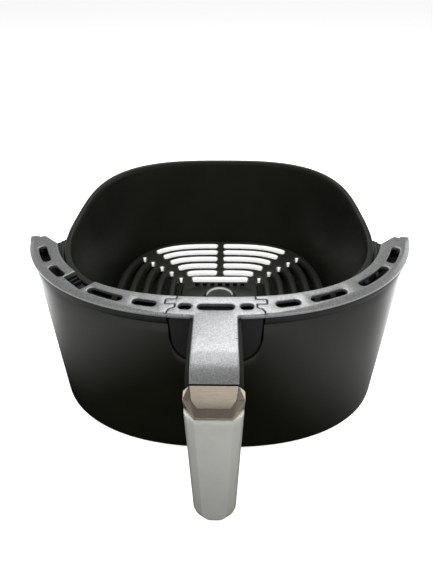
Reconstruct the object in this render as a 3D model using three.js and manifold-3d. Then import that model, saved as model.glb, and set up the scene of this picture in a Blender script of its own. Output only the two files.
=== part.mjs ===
// The pull-out drawer of a basket air fryer: a deep non-stick pan with a slotted crisper plate that
// lifts out, a curved gloss front, a slotted collar over the rim and a handle that stands clear of
// the front.
//
// Millimetres. X runs to the right, Y to the back and Z up. The origin is the middle of the pan's
// underside.

import * as THREE from 'three';
import { ConvexGeometry } from 'three/addons/geometries/ConvexGeometry.js';
import { mergeVertices } from 'three/addons/utils/BufferGeometryUtils.js';
import Module from 'manifold-3d';

const wasm = await Module();
wasm.setup();

// ---------------------------------------------------------------- driving dimensions

const GAP = 0.35; // clearance between pieces that rest against each other

const PAN = {
  rim: 115, // half-width over the rolled flange
  rimTop: 115.2,
  wallTop: 112.2, // half-width of the wall just under the flange
  wallFoot: 105, // half-width of the wall above the bottom corner
  floor: 96, // half-width of the flat underside
  cornerTop: 11, // height where the bottom corner ends
  wall: 1.6,
  power: 2.9, // squareness of the plan curve
  longer: 0.4, // the plan is this much longer than it is wide, front to back, each way
};

const PLATE = {
  half: 101,
  top: 26.5,
  sheet: 1.5,
  skirt: 5.5,
  slotWidth: 5.2,
  spine: 6.5, // width of the spine that parts the front and back slots
};
// Each ring of long slots: its half-size, the squareness of its curve, how far its front and back
// slots reach sideways, and how far its side slots reach forwards and backwards.
const SLOT_RINGS = [
  { half: 91.6, power: 3.5, across: 73, along: 71 },
  { half: 78.7, power: 3.8, across: 63, along: 61 },
  { half: 65.9, power: 4.2, across: 54, along: 52 },
  { half: 52.8, power: 4.8, across: 44, along: 42 },
  { half: 40.2, power: 5.6, across: 33.5, along: 30 },
];

const FRONT = { // the plan curve of the fascia at its top edge and at its bottom edge
  top: { z: 109.8, halfX: 138, halfY: 110, centreY: -20, power: 2.2, endY: -45 },
  bottom: { z: 1.5, halfX: 126, halfY: 83, centreY: -57, power: 2.3, endY: -57 },
  wall: 2.5,
  curl: 5, // radius of the edge that turns under at the bottom
  lip: 9, // how far that edge reaches inwards
};

const COLLAR = {
  top: 119,
  deck: 2.4, // thickness of the flat top
  skirtFoot: 110.3,
  skirt: 2,
  outer: { halfX: 139.5, halfY: 111.5, centreY: -20, power: 2.2, endY: -44.6 },
  inner: { halfX: 121.5, halfY: 114.2, centreY: 0, power: 2.6, endY: -53.6 },
  slotLine: { halfX: 130, halfY: 103.8, centreY: -20, power: 2.25 },
  slotWidth: 5.8,
};
const WING_SLOTS = [[35, 49.5], [56, 78.5], [88, 110], [113.4, 123.6]];
const LEFT_WING_SLOTS = [[35, 49.5], [56, 78.5], [98.5, 109.4], [113.4, 123.6]];
const CAP_SLOTS = [[-10.8, 10.8], [14.2, 22], [-22, -14.2]];
const RECESS = { x: -88.6, y: -99.4, across: 19, out: 3.5, back: 13, turn: 0.74, shelf: 115.4 };

const HANDLE = {
  capHalf: 28.3, // half-width of the cap where it meets the front
  armHalf: 12.6,
  armEnd: -173,
  coreHalf: 14.9,
  coreTop: 115.9,
  insetHalf: 28, // half-width of the black inset round the arm
  insetFoot: 82,
};

const GRIP = {
  top: 99.5,
  foot: 25.5,
  topFront: -187, // y of the front face at the top
  lean: 0.2, // how far the front face comes forwards for each mm down
  depth: 20,
  frontDepth: 11, // how deep the front shell is
  wall: 2,
};

// ---------------------------------------------------------------- finishes

const finish = (color, roughness, metalness = 0) => (
  new THREE.MeshStandardMaterial({ color, roughness, metalness })
);
const COATING = finish(0x1b1b16, 0.45);
const GLOSS_BLACK = finish(0x0d0d0c, 0.12);
const SATIN_BLACK = finish(0x151516, 0.4);
const METALLIC_GREY = finish(0xa4a6a8, 0.4, 0.5);
const CHAMPAGNE = finish(0x9a8468, 0.3, 0.8);
const SILVER = finish(0xb4b5ae, 0.32, 0.8);
const STEEL = finish(0x9c9d9f, 0.35, 0.9);
const ZINC = finish(0xb9bbbd, 0.3, 0.9);
const SILICONE = finish(0x202021, 0.75);
const FIBRE = finish(0x6b5a45, 0.85);

// ---------------------------------------------------------------- solids

// Turns a closed three.js geometry into a solid with its faces pointing outwards.
function solid(geometry) {
  const plain = geometry.clone();
  plain.deleteAttribute('normal');
  plain.deleteAttribute('uv');
  const merged = mergeVertices(plain, 1e-4);
  const spots = new Float32Array(merged.getAttribute('position').array);
  const corner = (i) => new THREE.Vector3().fromArray(spots, 3 * i);
  const triangles = [];
  let volume = 0;
  for (let i = 0; i < merged.index.count; i += 3) {
    const [a, b, c] = [0, 1, 2].map((k) => merged.index.getX(i + k));
    if (a !== b && b !== c && a !== c) {
      triangles.push([a, b, c]);
      volume += corner(a).dot(corner(b).cross(corner(c)));
    }
  }
  const order = volume > 0 ? triangles : triangles.map(([a, b, c]) => [a, c, b]);
  const triVerts = new Uint32Array(order.flat());
  return new wasm.Manifold(new wasm.Mesh({ numProp: 3, vertProperties: spots, triVerts }));
}

function join(first, ...others) {
  return others.reduce((sum, other) => sum.add(other), first);
}

function cut(first, ...others) {
  return others.reduce((rest, other) => rest.subtract(other), first);
}

function box(x0, x1, y0, y1, z0, z1) {
  const block = new THREE.BoxGeometry(x1 - x0, y1 - y0, z1 - z0);
  return solid(block.translate((x0 + x1) / 2, (y0 + y1) / 2, (z0 + z1) / 2));
}

// A prism standing on an outline in plan.
function slab(outline, z0, z1) {
  const prism = new THREE.ExtrudeGeometry(outline, { depth: z1 - z0, bevelEnabled: false });
  return solid(prism.translate(0, 0, z0));
}

// A prism along X whose outline is given as [y, z] points.
function sideways(points, x0, x1) {
  const outline = new THREE.Shape(points.map(([y, z]) => new THREE.Vector2(y, z)));
  const prism = new THREE.ExtrudeGeometry(outline, { depth: x1 - x0, bevelEnabled: false });
  const turn = new THREE.Matrix4().makeBasis(
    new THREE.Vector3(0, 1, 0),
    new THREE.Vector3(0, 0, 1),
    new THREE.Vector3(1, 0, 0),
  );
  return solid(prism.applyMatrix4(turn).translate(x0, 0, 0));
}

// A round bar from one point towards another.
function bar(from, to, radius, sides = 10) {
  const start = new THREE.Vector3(...from);
  const run = new THREE.Vector3(...to).sub(start);
  const shape = new THREE.CylinderGeometry(radius, radius, run.length(), sides);
  shape.translate(0, run.length() / 2, 0);
  const up = new THREE.Vector3(0, 1, 0);
  shape.applyQuaternion(new THREE.Quaternion().setFromUnitVectors(up, run.normalize()));
  return solid(shape.translate(...from));
}

// Joins rings of equal length, each counter-clockwise from above, into one closed skin. The first
// and last rings are closed by flat ends.
function skin(rings) {
  const count = rings[0].length;
  const spots = rings.flat().flatMap((p) => [p.x, p.y, p.z]);
  const index = [];
  for (let i = 0; i + 1 < rings.length; i += 1) {
    for (let j = 0; j < count; j += 1) {
      const a = i * count + j;
      const b = i * count + ((j + 1) % count);
      index.push(a, b, b + count, a, b + count, a + count);
    }
  }
  const flat = (ring) => ring.map((p) => new THREE.Vector2(p.x, p.y));
  const closeEnd = (ring, base, up) => {
    const contour = flat(ring);
    THREE.ShapeUtils.triangulateShape(contour, []).forEach(([a, b, c]) => {
      const along = contour[b].clone().sub(contour[a]);
      const rising = along.cross(contour[c].clone().sub(contour[a])) > 0;
      const order = rising === up ? [a, b, c] : [a, c, b];
      index.push(...order.map((k) => base + k));
    });
  };
  closeEnd(rings[0], 0, false);
  closeEnd(rings.at(-1), (rings.length - 1) * count, true);
  const geometry = new THREE.BufferGeometry();
  geometry.setAttribute('position', new THREE.Float32BufferAttribute(spots, 3));
  geometry.setIndex(index);
  return solid(geometry);
}

// ---------------------------------------------------------------- plan curves

const bent = (value, power) => Math.sign(value) * Math.abs(value) ** (2 / power);

// A closed rounded square, counter-clockwise, at one height.
function roundedSquare(half, z, { power = PAN.power, longer = PAN.longer, count = 48 } = {}) {
  return Array.from({ length: count }, (_, i) => {
    const angle = (2 * Math.PI * (i + 0.5)) / count;
    return new THREE.Vector3(
      half * bent(Math.cos(angle), power),
      (half + longer) * bent(Math.sin(angle), power),
      z,
    );
  });
}

// The front half of a rounded outline, from its left end round the front to its right end.
function frontArc({ halfX, halfY, centreY, power, endY }, inset = 0, steps = 28) {
  const reach = Math.max(0, centreY - endY) / (halfY - inset);
  const first = Math.asin(Math.min(1, reach ** (power / 2)));
  return Array.from({ length: steps + 1 }, (_, i) => {
    const angle = first + ((Math.PI - 2 * first) * i) / steps;
    return new THREE.Vector2(
      -(halfX - inset) * bent(Math.cos(angle), power),
      centreY - (halfY - inset) * bent(Math.sin(angle), power),
    );
  });
}

// The y of a front curve at a given x.
function frontAt({ halfX, halfY, centreY, power }, x) {
  return centreY - halfY * (1 - (Math.abs(x) / halfX) ** power) ** (1 / power);
}

// A slot with round ends that follows a front curve from one x to another.
function curvedSlot(line, x0, x1, width, steps = 4) {
  const radius = width / 2;
  const at = (x) => new THREE.Vector2(x, frontAt(line, x));
  const from = x0 + radius * Math.cos(Math.atan(slope(line, x0)));
  const to = x1 - radius * Math.cos(Math.atan(slope(line, x1)));
  const middle = Array.from({ length: steps + 1 }, (_, i) => from + ((to - from) * i) / steps);
  const side = (sign) => middle.map((x) => {
    const steep = slope(line, x);
    return at(x).add(new THREE.Vector2(steep, -1).normalize().multiplyScalar(sign * radius));
  });
  const tip = (x, turn) => [1, 2, 3].map((k) => {
    const angle = Math.atan(slope(line, x)) + turn + (k * Math.PI) / 4;
    return at(x).add(new THREE.Vector2(Math.cos(angle), Math.sin(angle)).multiplyScalar(radius));
  });
  return new THREE.Shape([
    ...side(1),
    ...tip(to, -Math.PI / 2),
    ...side(-1).reverse(),
    ...tip(from, Math.PI / 2),
  ]);
}

function slope(line, x) {
  const step = 0.01;
  return (frontAt(line, x + step) - frontAt(line, x - step)) / (2 * step);
}

// ---------------------------------------------------------------- the pan

// Half-width of the pan's outside at a height on its straight wall.
function panWall(z) {
  const share = (z - PAN.cornerTop) / (PAN.rimTop - PAN.cornerTop);
  return PAN.wallFoot + (PAN.wallTop - PAN.wallFoot) * share;
}

function makePan() {
  const t = PAN.wall;
  const outside = [
    [PAN.floor, 0],
    [101, 1.4],
    [103.9, 5],
    [PAN.wallFoot, PAN.cornerTop],
    [panWall(112.4), 112.4],
    [PAN.rim - 0.7, 112.9],
    [PAN.rim, 113.8],
    [PAN.rim - 0.6, 114.9],
    [PAN.rim - 1.8, PAN.rimTop],
  ];
  const inside = [
    [panWall(112.4) - t + 0.5, 114.4],
    [panWall(111) - t, 111],
    [PAN.wallFoot - t, PAN.cornerTop],
    [103.9 - t, 6],
    [101 - t, 2.9],
    [PAN.floor - t, t],
  ];
  return skin([...outside, ...inside].map(([half, z]) => roundedSquare(half, z)));
}

// The room that the pan takes up, grown by a clearance, for cutting its neighbours.
function panRoom(clearance) {
  const rings = [
    [PAN.floor + clearance, -20],
    [PAN.wallFoot + clearance, -19],
    [PAN.wallFoot + clearance, PAN.cornerTop],
    [panWall(112.4 - clearance) + clearance, 112.4 - clearance],
    [PAN.rim + clearance, 112.6 - clearance],
    [PAN.rim + clearance, PAN.rimTop + clearance],
  ];
  return skin(rings.map(([half, z]) => roundedSquare(half, z)));
}

// The upright room over the rolled rim, for the collar that covers it.
function rimRoom(clearance) {
  const edge = roundedSquare(PAN.rim + clearance, 0).map((p) => new THREE.Vector2(p.x, p.y));
  return slab(new THREE.Shape(edge), 100, PAN.rimTop + clearance);
}

// A steel strap that lies against the pan's wall between two heights.
function wallStrap(thickness, x0, x1, y0, y1, z0, z1) {
  const sheet = cut(panRoom(GAP + thickness), panRoom(GAP));
  return sheet.intersect(box(x0, x1, y0, y1, z0, z1));
}

// ---------------------------------------------------------------- the crisper plate

// One slot of a ring, between two places along it. A side slot is a front slot turned a quarter.
function ringSlot({ half, power }, from, to, quarter) {
  const steps = 5;
  const edge = (size) => Array.from({ length: steps + 1 }, (_, i) => {
    const u = from + ((to - from) * i) / steps;
    return new THREE.Vector2(u, size * (1 - Math.abs(u / size) ** power) ** (1 / power));
  });
  const w = PLATE.slotWidth / 2;
  const outline = [...edge(half - w), ...edge(half + w).reverse()];
  const turn = (quarter * Math.PI) / 2;
  const slot = new THREE.Shape(outline.map((p) => p.rotateAround(new THREE.Vector2(), turn)));
  return slab(slot, PLATE.top - PLATE.sheet - 1, PLATE.top + 1);
}

function squareSlot(x0, x1, y0, y1) {
  return box(x0, x1, y0, y1, PLATE.top - PLATE.sheet - 1, PLATE.top + 1);
}

function plateSlots() {
  const slots = [];
  SLOT_RINGS.forEach((ring) => {
    [0, 2].forEach((quarter) => {
      slots.push(ringSlot(ring, PLATE.spine / 2, ring.across, quarter));
      slots.push(ringSlot(ring, -ring.across, -PLATE.spine / 2, quarter));
    });
    [1, 3].forEach((quarter) => slots.push(ringSlot(ring, -ring.along, ring.along, quarter)));
  });
  const w = PLATE.slotWidth / 2;
  [-1, 1].forEach((side) => {
    slots.push(squareSlot(-28, 28, side * 29.5 - w, side * 29.5 + w));
    for (let i = -3; i <= 3; i += 1) {
      const [near, far] = [16.5, 24];
      const y = side > 0 ? [near, far] : [-far, -near];
      slots.push(squareSlot(i * 7.4 - 1.9, i * 7.4 + 1.9, ...y));
    }
  });
  return slots;
}

const LEG = { reach: 96, wide: 8, thick: 1.5, foot: 8 };

function onDiagonal(piece, quarter) {
  return piece.rotate([0, 0, 45 + 90 * quarter]);
}

function makePlate() {
  const { half, top, sheet, skirt } = PLATE;
  const outline = (size) => new THREE.Shape(
    roundedSquare(size, 0, { count: 48 }).map((p) => new THREE.Vector2(p.x, p.y)),
  );
  const face = cut(slab(outline(half), top - sheet, top), ...plateSlots());
  const edge = cut(
    slab(outline(half), top - skirt, top - sheet / 2),
    slab(outline(half - sheet), top - skirt - 1, top),
  );
  const dome = new THREE.LatheGeometry([
    new THREE.Vector2(0, -1),
    new THREE.Vector2(15, -1),
    new THREE.Vector2(15, 0.4),
    new THREE.Vector2(13.6, 2.2),
    new THREE.Vector2(12, 2.4),
    new THREE.Vector2(10.5, 1.4),
    new THREE.Vector2(0, 1.4),
  ], 32);
  dome.rotateX(Math.PI / 2).translate(0, 0, top);
  const leg = box(
    LEG.reach - LEG.wide / 2, LEG.reach + LEG.wide / 2, -LEG.thick / 2, LEG.thick / 2,
    LEG.foot, top - sheet / 2,
  );
  const legs = [0, 1, 2, 3].map((quarter) => onDiagonal(leg, quarter));
  return join(face, edge, solid(dome), ...legs);
}

function makeFoot(quarter) {
  const from = PAN.wall + GAP;
  const boot = bar([LEG.reach, 0, from], [LEG.reach, 0, 15], 6.4, 16);
  const waist = cut(
    bar([LEG.reach, 0, 8.6], [LEG.reach, 0, 11.4], 9, 16),
    bar([LEG.reach, 0, 8], [LEG.reach, 0, 12], 5.7, 16),
  );
  const pocket = box(
    LEG.reach - LEG.wide / 2 - GAP, LEG.reach + LEG.wide / 2 + GAP,
    -LEG.thick / 2 - GAP, LEG.thick / 2 + GAP,
    LEG.foot - GAP, 16,
  );
  return onDiagonal(cut(boot, waist, pocket), quarter);
}

// ---------------------------------------------------------------- the front

// A block that fills the front's outline, set in by a distance, between two heights. Its back is
// set forwards by another distance.
function frontBlock(inset, back, z0, z1) {
  const { top, bottom, curl } = FRONT;
  const heights = [z0, z0 + curl * 0.12, z0 + curl * 0.4, z0 + curl, z1];
  const tuck = [curl * 0.75, curl * 0.4, curl * 0.1, 0, 0];
  const rings = heights.map((z, i) => {
    const share = (z - bottom.z) / (top.z - bottom.z);
    const blend = (key) => bottom[key] + (top[key] - bottom[key]) * share;
    const level = {
      halfX: blend('halfX'),
      halfY: blend('halfY'),
      centreY: blend('centreY'),
      power: blend('power'),
      endY: Math.min(blend('endY') - back, blend('centreY')),
    };
    return frontArc(level, inset + tuck[i]).map((p) => new THREE.Vector3(p.x, p.y, z));
  });
  return skin(rings);
}

// The outline of the inset round the handle's arm, on the front, as a block through it.
function insetBlock(clearance) {
  const half = HANDLE.insetHalf - clearance;
  const foot = HANDLE.insetFoot + clearance;
  const outline = new THREE.Shape();
  outline.moveTo(-half, 125);
  outline.lineTo(-half, foot + 19);
  outline.bezierCurveTo(-half + 1, foot + 8, -half + 5, foot + 2, -half + 15, foot);
  outline.lineTo(half - 15, foot);
  outline.bezierCurveTo(half - 5, foot + 2, half - 1, foot + 8, half, foot + 19);
  outline.lineTo(half, 125);
  const prism = new THREE.ExtrudeGeometry(outline, { depth: 60, bevelEnabled: false });
  prism.rotateX(Math.PI / 2);
  return solid(prism.translate(0, -90, 0));
}

const FRONT_SHELL = cut(
  frontBlock(0, 0, FRONT.bottom.z, FRONT.top.z),
  frontBlock(FRONT.wall, -30, FRONT.bottom.z + FRONT.wall, FRONT.top.z + 6),
  frontBlock(FRONT.lip, -30, -8, 60),
);

const BOSSES = [-1, 1].flatMap((side) => [30, 88].map((z) => ({ x: side * 64, z })));

function frontSurface(x, z) {
  const { top, bottom } = FRONT;
  const share = (z - bottom.z) / (top.z - bottom.z);
  const level = {};
  ['halfX', 'halfY', 'centreY', 'power'].forEach((key) => {
    level[key] = bottom[key] + (top[key] - bottom[key]) * share;
  });
  return frontAt(level, x);
}

function makeFascia() {
  const posts = BOSSES.map(({ x, z }) => {
    const y = frontSurface(x, z);
    return bar([x, y - 6, z], [x, y + 13, z], 3.6).intersect(frontBlock(0.8, 0, 0, 112));
  });
  return cut(join(FRONT_SHELL, ...posts), insetBlock(0));
}

function makeInset() {
  const arm = box(-HANDLE.coreHalf - GAP, HANDLE.coreHalf + GAP, -150, -100, 90, 125);
  return cut(FRONT_SHELL.intersect(insetBlock(GAP)), arm);
}

// ---------------------------------------------------------------- the frame behind the front

const FRAME = { foot: 13, top: 109.8, wall: 2.2, flange: 2.2, fromPan: 2.5 };

function makeFrame() {
  const inset = FRONT.wall + 0.5;
  const body = cut(frontBlock(inset, 5, FRAME.foot, FRAME.top), panRoom(FRAME.fromPan));
  const channel = cut(
    frontBlock(inset + FRAME.wall, 5 + FRAME.wall, FRAME.foot - 8, FRAME.top - FRAME.flange),
    panRoom(FRAME.fromPan + FRAME.wall),
  );
  const doorway = box(-29, 29, -150, -90, 68, 125);
  const shelf = box(
    -RECESS.across / 2 + 1, RECESS.across / 2 - 1, -RECESS.out + 0.5, RECESS.back - 5,
    FRAME.top - 1, RECESS.shelf,
  );
  const fins = [-7.6, -3.9, 0.2].map((x) => box(x - 0.5, x + 0.5, -2.6, 7, RECESS.shelf - 1, 118));
  const ledge = join(shelf, ...fins).rotate([0, 0, (-RECESS.turn * 180) / Math.PI]);
  const holes = BOSSES.map(({ x, z }) => {
    const y = frontSurface(x, z);
    return bar([x, y - 2, z], [x, y + 10, z], 3.6 + GAP);
  });
  const placed = cut(ledge.translate([RECESS.x, RECESS.y, 0]), rimRoom(1.2));
  return join(cut(body, channel, doorway, ...holes), placed);
}

// ---------------------------------------------------------------- the collar

function crescent(inset) {
  const { outer, inner } = COLLAR;
  const heel = [[131, -43.8], [130.2, -45.4], [126.6, -43.6], [119, -50.2]];
  const right = heel.map(([x, y]) => new THREE.Vector2(x - inset / 2, y - inset));
  const left = heel.map(([x, y]) => new THREE.Vector2(-x + inset / 2, y - inset)).reverse();
  const grown = { ...inner, endY: inner.endY - inset };
  const shrunk = { ...outer, endY: outer.endY - inset };
  return new THREE.Shape([
    ...frontArc(shrunk, inset),
    ...right,
    ...frontArc(grown, -inset).reverse(),
    ...left,
  ]);
}

// The cap between the wings, in plan, with the tabs that lock it to them.
function capOutline(clearance) {
  const g = clearance;
  const right = [
    [28.3 + g, -140], [28.3 + g, -128 + g], [27 + g, -125.4 + g], [24 + g, -124.2 + g],
    [24 + g, -121 - g], [30 + g, -121 - g], [30 + g, -116.6 + g], [23.4 + g, -116.6 + g],
    [23.4 + g, -105],
  ];
  const left = right.map(([x, y]) => [-x, y]).reverse();
  return new THREE.Shape([...right, ...left].map((p) => new THREE.Vector2(...p)));
}

const COLLAR_BODY = cut(
  slab(crescent(0), COLLAR.skirtFoot, COLLAR.top),
  slab(crescent(COLLAR.skirt), COLLAR.skirtFoot - 1, COLLAR.top - COLLAR.deck),
  rimRoom(1.1),
);

const COLLAR_POSTS = [[52.8, frontAt(COLLAR.slotLine, 52.8)], [128, -51.5]];

function makeWing(side) {
  const spans = side < 0 ? LEFT_WING_SLOTS : WING_SLOTS;
  const slots = spans.map(([from, to]) => {
    const ends = side < 0 ? [-to, -from] : [from, to];
    const slot = curvedSlot(COLLAR.slotLine, ...ends, COLLAR.slotWidth);
    return slab(slot, COLLAR.skirtFoot - 1, COLLAR.top + 1);
  });
  const posts = COLLAR_POSTS.map(([x, y]) => (
    bar([side * x, y, COLLAR.skirtFoot], [side * x, y, COLLAR.top - 1], 2.9)
  ));
  const half = side < 0 ? box(-150, 0, -140, 0, 100, 130) : box(0, 150, -140, 0, 100, 130);
  const wing = cut(
    join(COLLAR_BODY.intersect(half), ...posts),
    slab(capOutline(GAP), 100, 130),
    ...slots,
  );
  if (side > 0) {
    return wing;
  }
  const recess = box(
    -RECESS.across / 2, RECESS.across / 2, -RECESS.out, RECESS.back, 100, 130,
  ).rotate([0, 0, (-RECESS.turn * 180) / Math.PI]).translate([RECESS.x, RECESS.y, 0]);
  return cut(wing, recess);
}

// ---------------------------------------------------------------- the handle

function makeCap() {
  const { armHalf, armEnd, coreHalf } = HANDLE;
  const slots = CAP_SLOTS.map(([from, to]) => (
    slab(curvedSlot(COLLAR.slotLine, from, to, COLLAR.slotWidth), 100, 130)
  ));
  const arm = sideways([
    [-126, COLLAR.top], [-152, COLLAR.top], [-160, 118.3], [-166, 116], [-170, 113.2],
    [armEnd, 110], [armEnd, 107.8], [-170, 110.4], [-166, 113.2], [-160, 115.6],
    [-152, 116.3], [-126, 116.3],
  ], -armHalf, armHalf);
  const passage = box(-coreHalf - GAP, coreHalf + GAP, -140, -128, 100, 116.3);
  const post = bar([0, -150, 109], [0, -150, 117], 3);
  const deck = cut(COLLAR_BODY.intersect(slab(capOutline(0), 100, 130)), passage);
  return cut(join(deck, arm, post), ...slots);
}

function makeCore() {
  const { coreHalf, coreTop } = HANDLE;
  const arm = sideways([
    [-116.9, 96.2], [-116.9, coreTop], [-152, coreTop], [-160, 115.2], [-166, 112.8],
    [-170, 110], [-172.8, 107.6], [-172.8, 100.2], [-165, 99.8], [-158, 101],
    [-146, 100.5], [-137, 96.5], [-134, 91.5], [-128, 90.4], [-127, 96.2],
  ].reverse(), -coreHalf, coreHalf);
  const root = box(-22, 22, -126, -116.9, 96.2, 111.6);
  const tongue = sideways([
    [-166.5, 104], [-178.5, 104], [-182, 98.5], [-191.5, 48], [-186, 48], [-173.5, 98],
  ], -9, 9);
  const bore = bar([0, -150, 108.6], [0, -150, 120], 3 + GAP);
  return cut(join(arm, root, tongue), bore, box(-30, 30, -116.8, -100, 80, 130));
}

function makeCrown() {
  const back = -173.6;
  const half = [
    [9.4, -187.2, GRIP.top + GAP], [15.4, -180, GRIP.top + GAP], [15.4, back, GRIP.top + GAP],
    [9.6, -187, 101], [15.8, -178.6, 104.5], [15.8, back, 105.5],
    [8.4, -184.4, 104.9], [11.4, -180.6, 106.8], [12.6, back, 109.5],
  ];
  const corners = half.flatMap(([x, y, z]) => [-x, x].map((s) => new THREE.Vector3(s, y, z)));
  const pocket = box(-9 - GAP, 9 + GAP, -182.4, -170, 90, 104 + GAP);
  return cut(solid(new ConvexGeometry(corners)), pocket);
}

// Half-width of the grip at a height: it narrows downwards and its bottom corners are round.
function gripHalf(z) {
  const straight = 15.1 - (GRIP.top - z) * 0.045;
  const rise = Math.max(0, 7 - (z - GRIP.foot)) / 7;
  return straight - 7 * (1 - Math.sqrt(1 - rise * rise));
}

// A stack of outlines down the grip. Each outline is worked out from the half-width and from the
// y of the front face at its height.
function gripStack(heights, outline) {
  return skin(heights.map((z) => {
    const front = GRIP.topFront - (GRIP.top - z) * GRIP.lean;
    return outline(gripHalf(z), front).map(([x, y]) => new THREE.Vector3(x, y, z));
  }));
}

const GRIP_HEIGHTS = [25.6, 26, 27.2, 29.4, 32.5, 60, GRIP.top];

function mirrored(points) {
  return [...points, ...points.map(([x, y]) => [-x, y]).reverse()];
}

function makeGripFront() {
  const w = GRIP.wall;
  const shell = gripStack(GRIP_HEIGHTS, (half, front) => mirrored([
    [half - 5.2, front], [half - 1.2, front + 2.4], [half, front + 4.4],
    [half, front + GRIP.frontDepth],
  ]));
  const heights = GRIP_HEIGHTS.map((z, i) => (i === 0 ? z + w : z + (i < 5 ? w : 0)));
  heights[heights.length - 1] += 1;
  const hollow = gripStack(heights, (half, front) => mirrored([
    [half - 5.2 - w / 2, front + w], [half - w, front + 4.6], [half - w, front + 30],
  ]));
  const { y, z } = GRIP_SCREWS[1];
  const post = bar([0, y - 16.5, z], [0, y - 1.3, z], 3.4);
  return join(cut(shell, hollow), post);
}

function tongueRoom() {
  return sideways([
    [-160, 104 + GAP], [-179, 104 + GAP], [-182.6, 98.6], [-192, 47.4], [-180, 47.4],
    [-172, 90],
  ], -9 - GAP, 9 + GAP);
}

function makeGripRear() {
  const w = GRIP.wall;
  const from = GRIP.frontDepth + GAP;
  const shell = gripStack(GRIP_HEIGHTS, (half, front) => mirrored([
    [half, front + from], [half, front + GRIP.depth - 4], [half - 2, front + GRIP.depth - 1],
    [half - 5, front + GRIP.depth],
  ]));
  const heights = GRIP_HEIGHTS.map((z, i) => (i < 5 ? z + w : z));
  heights[heights.length - 1] += 1;
  const hollow = gripStack(heights, (half, front) => mirrored([
    [half - w, front], [half - w, front + GRIP.depth - 4.4], [half - 5.4, front + GRIP.depth - w],
  ]));
  return cut(shell, hollow, tongueRoom());
}

// ---------------------------------------------------------------- brackets

const BRACKET = { wall: 1.5, flangeTop: 94 };

function makeFrontBracket() {
  const strap = wallStrap(BRACKET.wall, -26, 26, -140, -80, 74, BRACKET.flangeTop);
  const flange = box(-23, 23, -126, -108, BRACKET.flangeTop - BRACKET.wall, BRACKET.flangeTop);
  return join(strap, cut(flange, panRoom(GAP)));
}

function makePad() {
  return box(-22, 22, -125.6, -117, BRACKET.flangeTop + GAP, 95.8);
}

function makeSideBracket(side) {
  const [x0, x1] = side < 0 ? [-124, -90] : [90, 124];
  const strap = wallStrap(BRACKET.wall, x0, x1, -52, -30, 58, 80);
  const ear = box(x0, x1, -50.4, -48.9, 58, 80).intersect(panRoom(15)).subtract(panRoom(GAP));
  return join(strap.intersect(box(x0, x1, -50.4, -30, 50, 90)), ear);
}

// ---------------------------------------------------------------- screws

// A pan-head screw whose head rests at one point and whose shank points along a direction.
function screwShape(length, head, shank) {
  const profile = [
    [0, -length], [shank, -length + shank], [shank, 0], [head, 0], [head, 1.1],
    [head * 0.7, 2.1], [0, 2.2],
  ].map(([x, y]) => new THREE.Vector2(x, y));
  const body = solid(new THREE.LatheGeometry(profile, 9));
  const arm = head * 0.55;
  const cross = join(box(-arm, arm, 1.1, 4, -0.45, 0.45), box(-0.45, 0.45, 1.1, 4, -arm, arm));
  return cut(body, cross);
}

function place(piece, at, direction) {
  const away = new THREE.Vector3(...direction).negate();
  const turn = new THREE.Quaternion().setFromUnitVectors(new THREE.Vector3(0, 1, 0), away);
  const matrix = new THREE.Matrix4().compose(
    new THREE.Vector3(...at), turn, new THREE.Vector3(1, 1, 1),
  );
  return piece.transform(matrix.elements);
}

// A screw and the room that it needs in the pieces it passes through.
function screw(name, at, direction, length, head = 3.4, shank = 1.5) {
  const start = new THREE.Vector3(...at);
  const along = new THREE.Vector3(...direction);
  const tip = start.clone().addScaledVector(along, length + 0.5);
  const behind = start.clone().addScaledVector(along, -6);
  const seat = start.clone().addScaledVector(along, 0.02 - GAP);
  return {
    name,
    piece: place(screwShape(length, head, shank), at, direction),
    room: join(
      bar(seat.toArray(), tip.toArray(), shank + GAP),
      bar(start.clone().addScaledVector(along, GAP).toArray(), behind.toArray(), head + GAP + 0.1),
    ),
  };
}

const GRIP_SCREWS = [{ z: 84 }, { z: 42 }].map(({ z }) => (
  { z, y: GRIP.topFront - (GRIP.top - z) * GRIP.lean + GRIP.depth - GRIP.wall }
));

const SCREWS = [
  ...[-1, 1].map((side) => (
    screw(`handle_screw_${side < 0 ? 'left' : 'right'}`, [side * 18.4, -122.6, 112.6], [0, 0, -1], 24)
  )),
  screw('cap_screw', [0, -150, 102.4], [0, 0, 1], 12, 2.9, 1.3),
  ...GRIP_SCREWS.map(({ y, z }, i) => (
    screw(`grip_screw_${i === 0 ? 'upper' : 'lower'}`, [0, y + 0.6, z], [0, -1, 0], 12, 2.9, 1.3)
  )),
  ...[-1, 1].flatMap((side) => COLLAR_POSTS.map(([x, y], i) => screw(
    `collar_screw_${side < 0 ? 'left' : 'right'}_${i + 1}`,
    [side * x, y, FRAME.top - FRAME.flange - GAP], [0, 0, 1], 8, 2.7, 1.2,
  ))),
  ...BOSSES.map(({ x, z }) => screw(
    `front_screw_${x < 0 ? 'left' : 'right'}_${z < 60 ? 'lower' : 'upper'}`,
    [x, frontSurface(x, z) + 13 + GAP, z], [0, -1, 0], 9, 4.2, 1.4,
  )),
  ...[-1, 1].map((side) => screw(
    `bracket_screw_${side < 0 ? 'left' : 'right'}`, [side * 114.4, -48.9 + GAP, 69], [0, -1, 0], 7,
    3.2, 1.5,
  )),
];

// ---------------------------------------------------------------- the assembly

const sides = [[-1, 'left'], [1, 'right']];

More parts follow.
